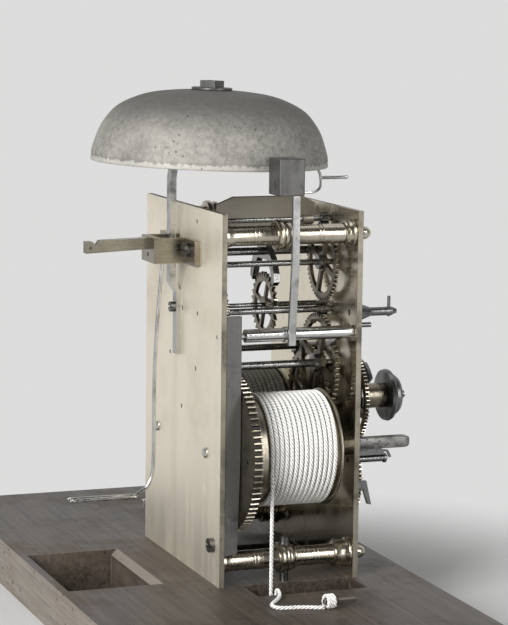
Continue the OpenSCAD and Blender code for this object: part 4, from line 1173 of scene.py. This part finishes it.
@dataclass
class Barrel:
    """One barrel, named as its body and node: arbor, drum with caps, ratchet and winding square."""

    name: str
    drum_finish: bpy.types.Material
    steel: bpy.types.Material
    square_finish: bpy.types.Material
    x: float
    wheel_y: float  # the great wheel's face towards the drum
    wheel_t: float
    z: float = BARREL_Z
    drum_r: float = 24.0
    turns_len: float = TURNS * PITCH + 3.6  # between the caps
    side: float = 5.3  # of the square
    reach: float = 67.0  # of the square's tip towards the dial

    def build(self) -> None:
        """Make the barrel's four pieces; the drum stands for the CAD node."""
        y, cap_r, place = self.wheel_y, self.drum_r + 3, along_y(self.x, self.z)
        drum_y = y - 6.6
        cap_y = drum_y - self.turns_len
        far = y + self.wheel_t
        drum = [[5, cap_y - 1.2], [cap_r - 0.6, cap_y - 1.2], [cap_r - 0.1, cap_y - 0.9],
                [cap_r, cap_y - 0.6], [cap_r - 0.1, cap_y - 0.25], [cap_r - 0.5, cap_y],
                [self.drum_r, cap_y], [self.drum_r, drum_y], [cap_r - 0.5, drum_y], [cap_r, drum_y + 0.4],
                [cap_r, y - 3.2], [cap_r - 0.4, y - 2.8], [6, y - 2.8]]
        made = Shape().add_turned(drum, place, 96).build(self.name + "_drum", self.drum_finish)
        settle(made, self.name, "barrel_brass", self.name)
        arbor = [[0, -PLATE_OUT - 1.6], [3.5, -PLATE_OUT - 1.6], [3.8, -PLATE_OUT - 1.3],
                 [3.8, -PLATE_IN + 0.2], [5, -PLATE_IN + 0.2], [5, cap_y - 1.1], [4.2, cap_y],
                 [4.2, far + 0.2], [8.8, far + 0.2], [9, far + 0.5], [9, far + 1.3], [8.6, far + 1.6],
                 [3.4, far + 1.6], [3.4, PLATE_IN - 0.2], [2.4, PLATE_IN - 0.2], [2.4, PLATE_OUT + 0.8],
                 [1.9, PLATE_OUT + 1.2], [0, PLATE_OUT + 1.2]]
        made = Shape().add_turned(arbor, place, 48).build(self.name + "_arbor", self.steel)
        settle(made, self.name, "bright_steel")
        self._ratchet(y - 2.3)
        self._square()

    def _ratchet(self, y: float, teeth: int = 24, tip: float = 21.5) -> None:
        """Cut the saw-toothed ratchet beside the drum.

        Args:
            y: its near face in mm.
            teeth: how many it has.
            tip: the radius of their tips.
        """
        outline = []
        for i in range(teeth):
            for radius, step in ((tip - 2.2, 0.0), (tip, 0.85), (tip, 0.97)):
                t = 2 * math.pi * (i + step) / teeth
                outline.append((radius * math.cos(t), radius * math.sin(t)))
        count = len(outline)
        place = along_y(self.x, self.z)
        verts = [place(a, b, h) for h in (y, y + 1.8) for a, b in outline]
        faces = [list(range(count)), list(range(2 * count - 1, count - 1, -1))]
        faces += [[k, (k + 1) % count, count + (k + 1) % count, count + k] for k in range(count)]
        made = Shape().add(verts, faces).build(self.name + "_ratchet", self.steel)
        settle(made, self.name, "bright_steel")

    def _square(self) -> None:
        """File the winding square, with soft edges and a domed tip."""
        half, start, place = self.side / 2, -PLATE_OUT - 1.4, along_y(self.x, self.z)
        steps = [(start, 1.0, 0.4), (-self.reach + 3.2, 1.0, 0.4), (-self.reach + 1.4, 0.95, 0.7),
                 (-self.reach + 0.4, 0.78, 1.0), (-self.reach, 0.5, 1.0)]
        verts, corner = [], 4
        arc = [(math.sin(t), math.cos(t)) for t in np.linspace(0, math.pi / 2, corner)]
        for y, scale, ease in steps:
            reach = half * scale
            cut = min(ease, reach * 0.9)
            for sx, sz in ((1, 1), (-1, 1), (-1, -1), (1, -1)):
                verts += [place(sx * (reach - cut + cut * c), sz * (reach - cut + cut * s), y)
                          for c, s in (arc if sx != sz else arc[::-1])]
        ring = 4 * corner
        faces = [[i + k, i + (k + 1) % ring, i + ring + (k + 1) % ring, i + ring + k]
                 for i in range(0, len(verts) - ring, ring) for k in range(ring)]
        faces += [list(range(ring)), list(range(len(verts) - 1, len(verts) - ring - 1, -1))]
        made = Shape().add(verts, faces).build(self.name + "_square", self.square_finish)
        settle(made, self.name, "bright_steel")


@dataclass
class BentWires:
    """The round bent wires: the crutch with its fork, and the hammer's wire and rod."""

    finish: bpy.types.Material
    crutch_y: float = PLATE_OUT + 10.2
    pallet_z: float = BOARD_T + 146.7  # the pallet arbor, on which the crutch swings
    wire_r: float = 0.9
    prong_x: float = 2.1
    arm_x: float = -55.246  # the hammer's arm
    arm_top: float = 200.2

    def crutch(self) -> None:
        """Bend the crutch wire, its collet and the two prongs of its fork."""
        y, z, r, out, level = self.crutch_y, BOARD_T, self.wire_r, self.prong_x, BOARD_T + 32.9
        stem = smooth_path([(0, y, self.pallet_z), (0, y, z + 142), (0, y + 0.4, z + 135.5),
                            (0, y + 2.2, z + 113), (0, y + 3.3, z + 88), (0, y + 3.5, z + 54),
                            (0, y + 4, z + 44), (0, y + 5.4, z + 39.4), (0, y + 7.8, z + 36),
                            (0, y + 12.2, z + 33.3)])
        shape = Shape().add_tube(stem, r)
        for s in (-1, 1):
            prong = smooth_path([(0, y + 12, z + 33.3), (s * 1.3, y + 12.6, level + 0.1),
                                 *((s * out, y + run, level) for run in (14.4, 24, 34, 43)),
                                 (s * out, y + 44, level + 0.5)])
            shape.add_tube(prong, r)
        collet = [[1.55, y - 1.5], [3.3, y - 1.5], [3.6, y - 1.2], [3.6, y + 1.2], [3.3, y + 1.5],
                  [1.55, y + 1.5], [1.55, y - 1.5]]
        shape.add_turned(collet, along_y(0, self.pallet_z), 32)
        settle(shape.build("crutch_wire", self.finish), "pallets", "bright_steel", "crutch")

    def hammer_wire(self) -> None:
        """Bend the wire at the hammer's foot and lay its straight rod beside it."""
        x, z = self.arm_x - 1.0, self.arm_top
        bend = smooth_path([(x, -2.1, z + 1), (x, -6, z + 1.05), (x, -8.6, z + 1.2), (x, -11, z + 2.4),
                            (x, -11.8, z + 4.6), (x, -11.5, z + 8.8), (x, -10.6, z + 11)])
        shape = Shape().add_tube(bend, 0.6, 10)
        rod = [[0, -25], [0.5, -25], [0.8, -24.6], [0.8, -11.9], [0.6, -11.6], [0, -11.6]]
        shape.add_turned(rod, along_y(x, z + 7.6), 20)
        settle(shape.build("hammer_bent_wire", self.finish), "hammer", "bright_steel", "hammer_wire")


@dataclass
class FrameWork:
    """Everything else: eased copies of plain blocks and finishes on the CAD nodes that stay."""

    finishes: dict[str, bpy.types.Material]
    eased: dict[str, tuple[str, str, float]] = field(default_factory=lambda: {
        "seat_board": ("seat_board_wood", "board", 0.7),
        "back_plate": ("back_plate_brass", "satin", 0.18),
        "front_plate": ("front_plate_brass", "plate", 0.18),
        "back_cock": ("back_cock_brass", "cock", 0.3),
        "hammer_head": ("hammer_block", "head", 0.5),
        "hammer_arm": ("hammer_stem", "strip", 0.25),
        "hammer_spring": ("hammer_leaf_spring", "iron", 0.3),
        "bell_stand": ("bell_stand_strip", "strip", 0.7),
    })
    kept: dict[str, Sequence[str]] = field(default_factory=lambda: {
        "wheel": ("strike_great_wheel", "going_great_wheel", "pin_wheel", "gathering_wheel", "warning_wheel",
                  "centre_wheel", "third_wheel", "escape_wheel", "minute_wheel", "date_wheel", "hour_wheel"),
        "drum": ("cannon_pipe",),
        "fly": ("fly",),
        "bright": ("board_pin", "hammer_arbor"),
        "arbor": ("pin_arbor", "gathering_arbor", "warning_arbor", "fly_arbor", "centre_arbor", "third_arbor",
                  "escape_arbor", "pallet_arbor", "pallets"),
        "dark": ("snail", "seat_bolts", "pillar_pins", "cock_screws", "stand_screw", "spring_screw",
                 "dial_studs", "stud_pin", "dial_springs", "strike_click", "going_click", "hand_collet",
                 "hand_pin"),
    })
    sawn_and_shaded: Sequence[str] = ("back_plate", "front_plate")
    toothed: dict[str, float] = field(default_factory=lambda: {
        "strike_great_wheel": 2.6, "going_great_wheel": 2.2, "pin_wheel": 1.5, "gathering_wheel": 1.3,
        "warning_wheel": 1.2, "centre_wheel": 1.4, "third_wheel": 1.3, "escape_wheel": 1.0,
        "minute_wheel": 1.4, "date_wheel": 1.3, "hour_wheel": 1.5,
    })

    def mark_teeth(self, node: str, depth: float) -> None:
        """Give a wheel tooth tips in the brass tone and painted shade in its gaps, by the place of each face.

        Args:
            node: the wheel's CAD node.
            depth: how far in mm the gaps reach below the tips.
        """
        mesh = bpy.data.objects[node].data
        for finish in ("tip", "gap"):
            mesh.materials.append(self.finishes[finish])
        low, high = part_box(node)
        centre = (low + high) / 2
        reach = (high.x - low.x) / 2
        for face in mesh.polygons:
            radius = math.hypot(face.center.x - centre.x, face.center.z - centre.z)
            if abs(face.normal.y) > 0.7 or radius < reach - depth * MM:
                continue
            face.material_index = 1 if radius > reach - 0.12 * depth * MM else 2

    def build(self) -> None:
        """Make the eased copies, then finish the nodes that stay."""
        for node, (name, finish, ease) in self.eased.items():
            piece = eased_copy(node, name, self.finishes[finish], ease)
            # The plates' edge faces take the edge finish: rougher, and painted darker as shade.
            if node in self.sawn_and_shaded:
                piece.data.materials.append(self.finishes["edge"])
                for face in piece.data.polygons:
                    face.material_index = int(abs(face.normal.y) < 0.3)
        for finish, nodes in self.kept.items():
            for node in nodes:
                mesh = bpy.data.objects[node].data
                if not mesh.materials:
                    mesh.materials.append(self.finishes[finish])
                for i in range(len(mesh.materials)):
                    mesh.materials[i] = self.finishes[finish]
                log.info("finish %s on node %s", finish, node)
        for node, depth in self.toothed.items():
            self.mark_teeth(node, depth)


def main() -> None:
    """Load the frame and build every sub-assembly in order."""
    logging.basicConfig(level=logging.INFO, format="%(message)s")
    for leftover in list(bpy.data.objects):
        bpy.data.objects.remove(leftover)
    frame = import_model()
    SLOT_OF.update({s["node"]: s["material_slot"] for s in frame["record"]["subparts"]})
    studio = Studio()
    studio.place_camera()
    kit = EffectKit()
    made = {key: finish.build(kit) for key, finish in FINISHES.items()}
    LineWork(made["rope"], made["toggle"]).build()
    studio.build_floor()
    studio.build_world()
    studio.light()
    Bell(made["bell"], made["head"]).build()
    Pillars(made["pillar"], made["satin"]).build()
    for name, x, wheel_y, wheel_t in (("strike_barrel", -BARREL_X, 19.8, 4.0),
                                      ("going_barrel", BARREL_X, 16.0, 3.4)):
        Barrel(name, made["drum"], made["bright"], made["square"], x, wheel_y, wheel_t).build()
    bent = BentWires(made["bright"])
    bent.crutch()
    bent.hammer_wire()
    FrameWork(made).build()
    view = bpy.context.scene.view_settings
    view.view_transform = "Standard"


if __name__ == "__main__":
    main()
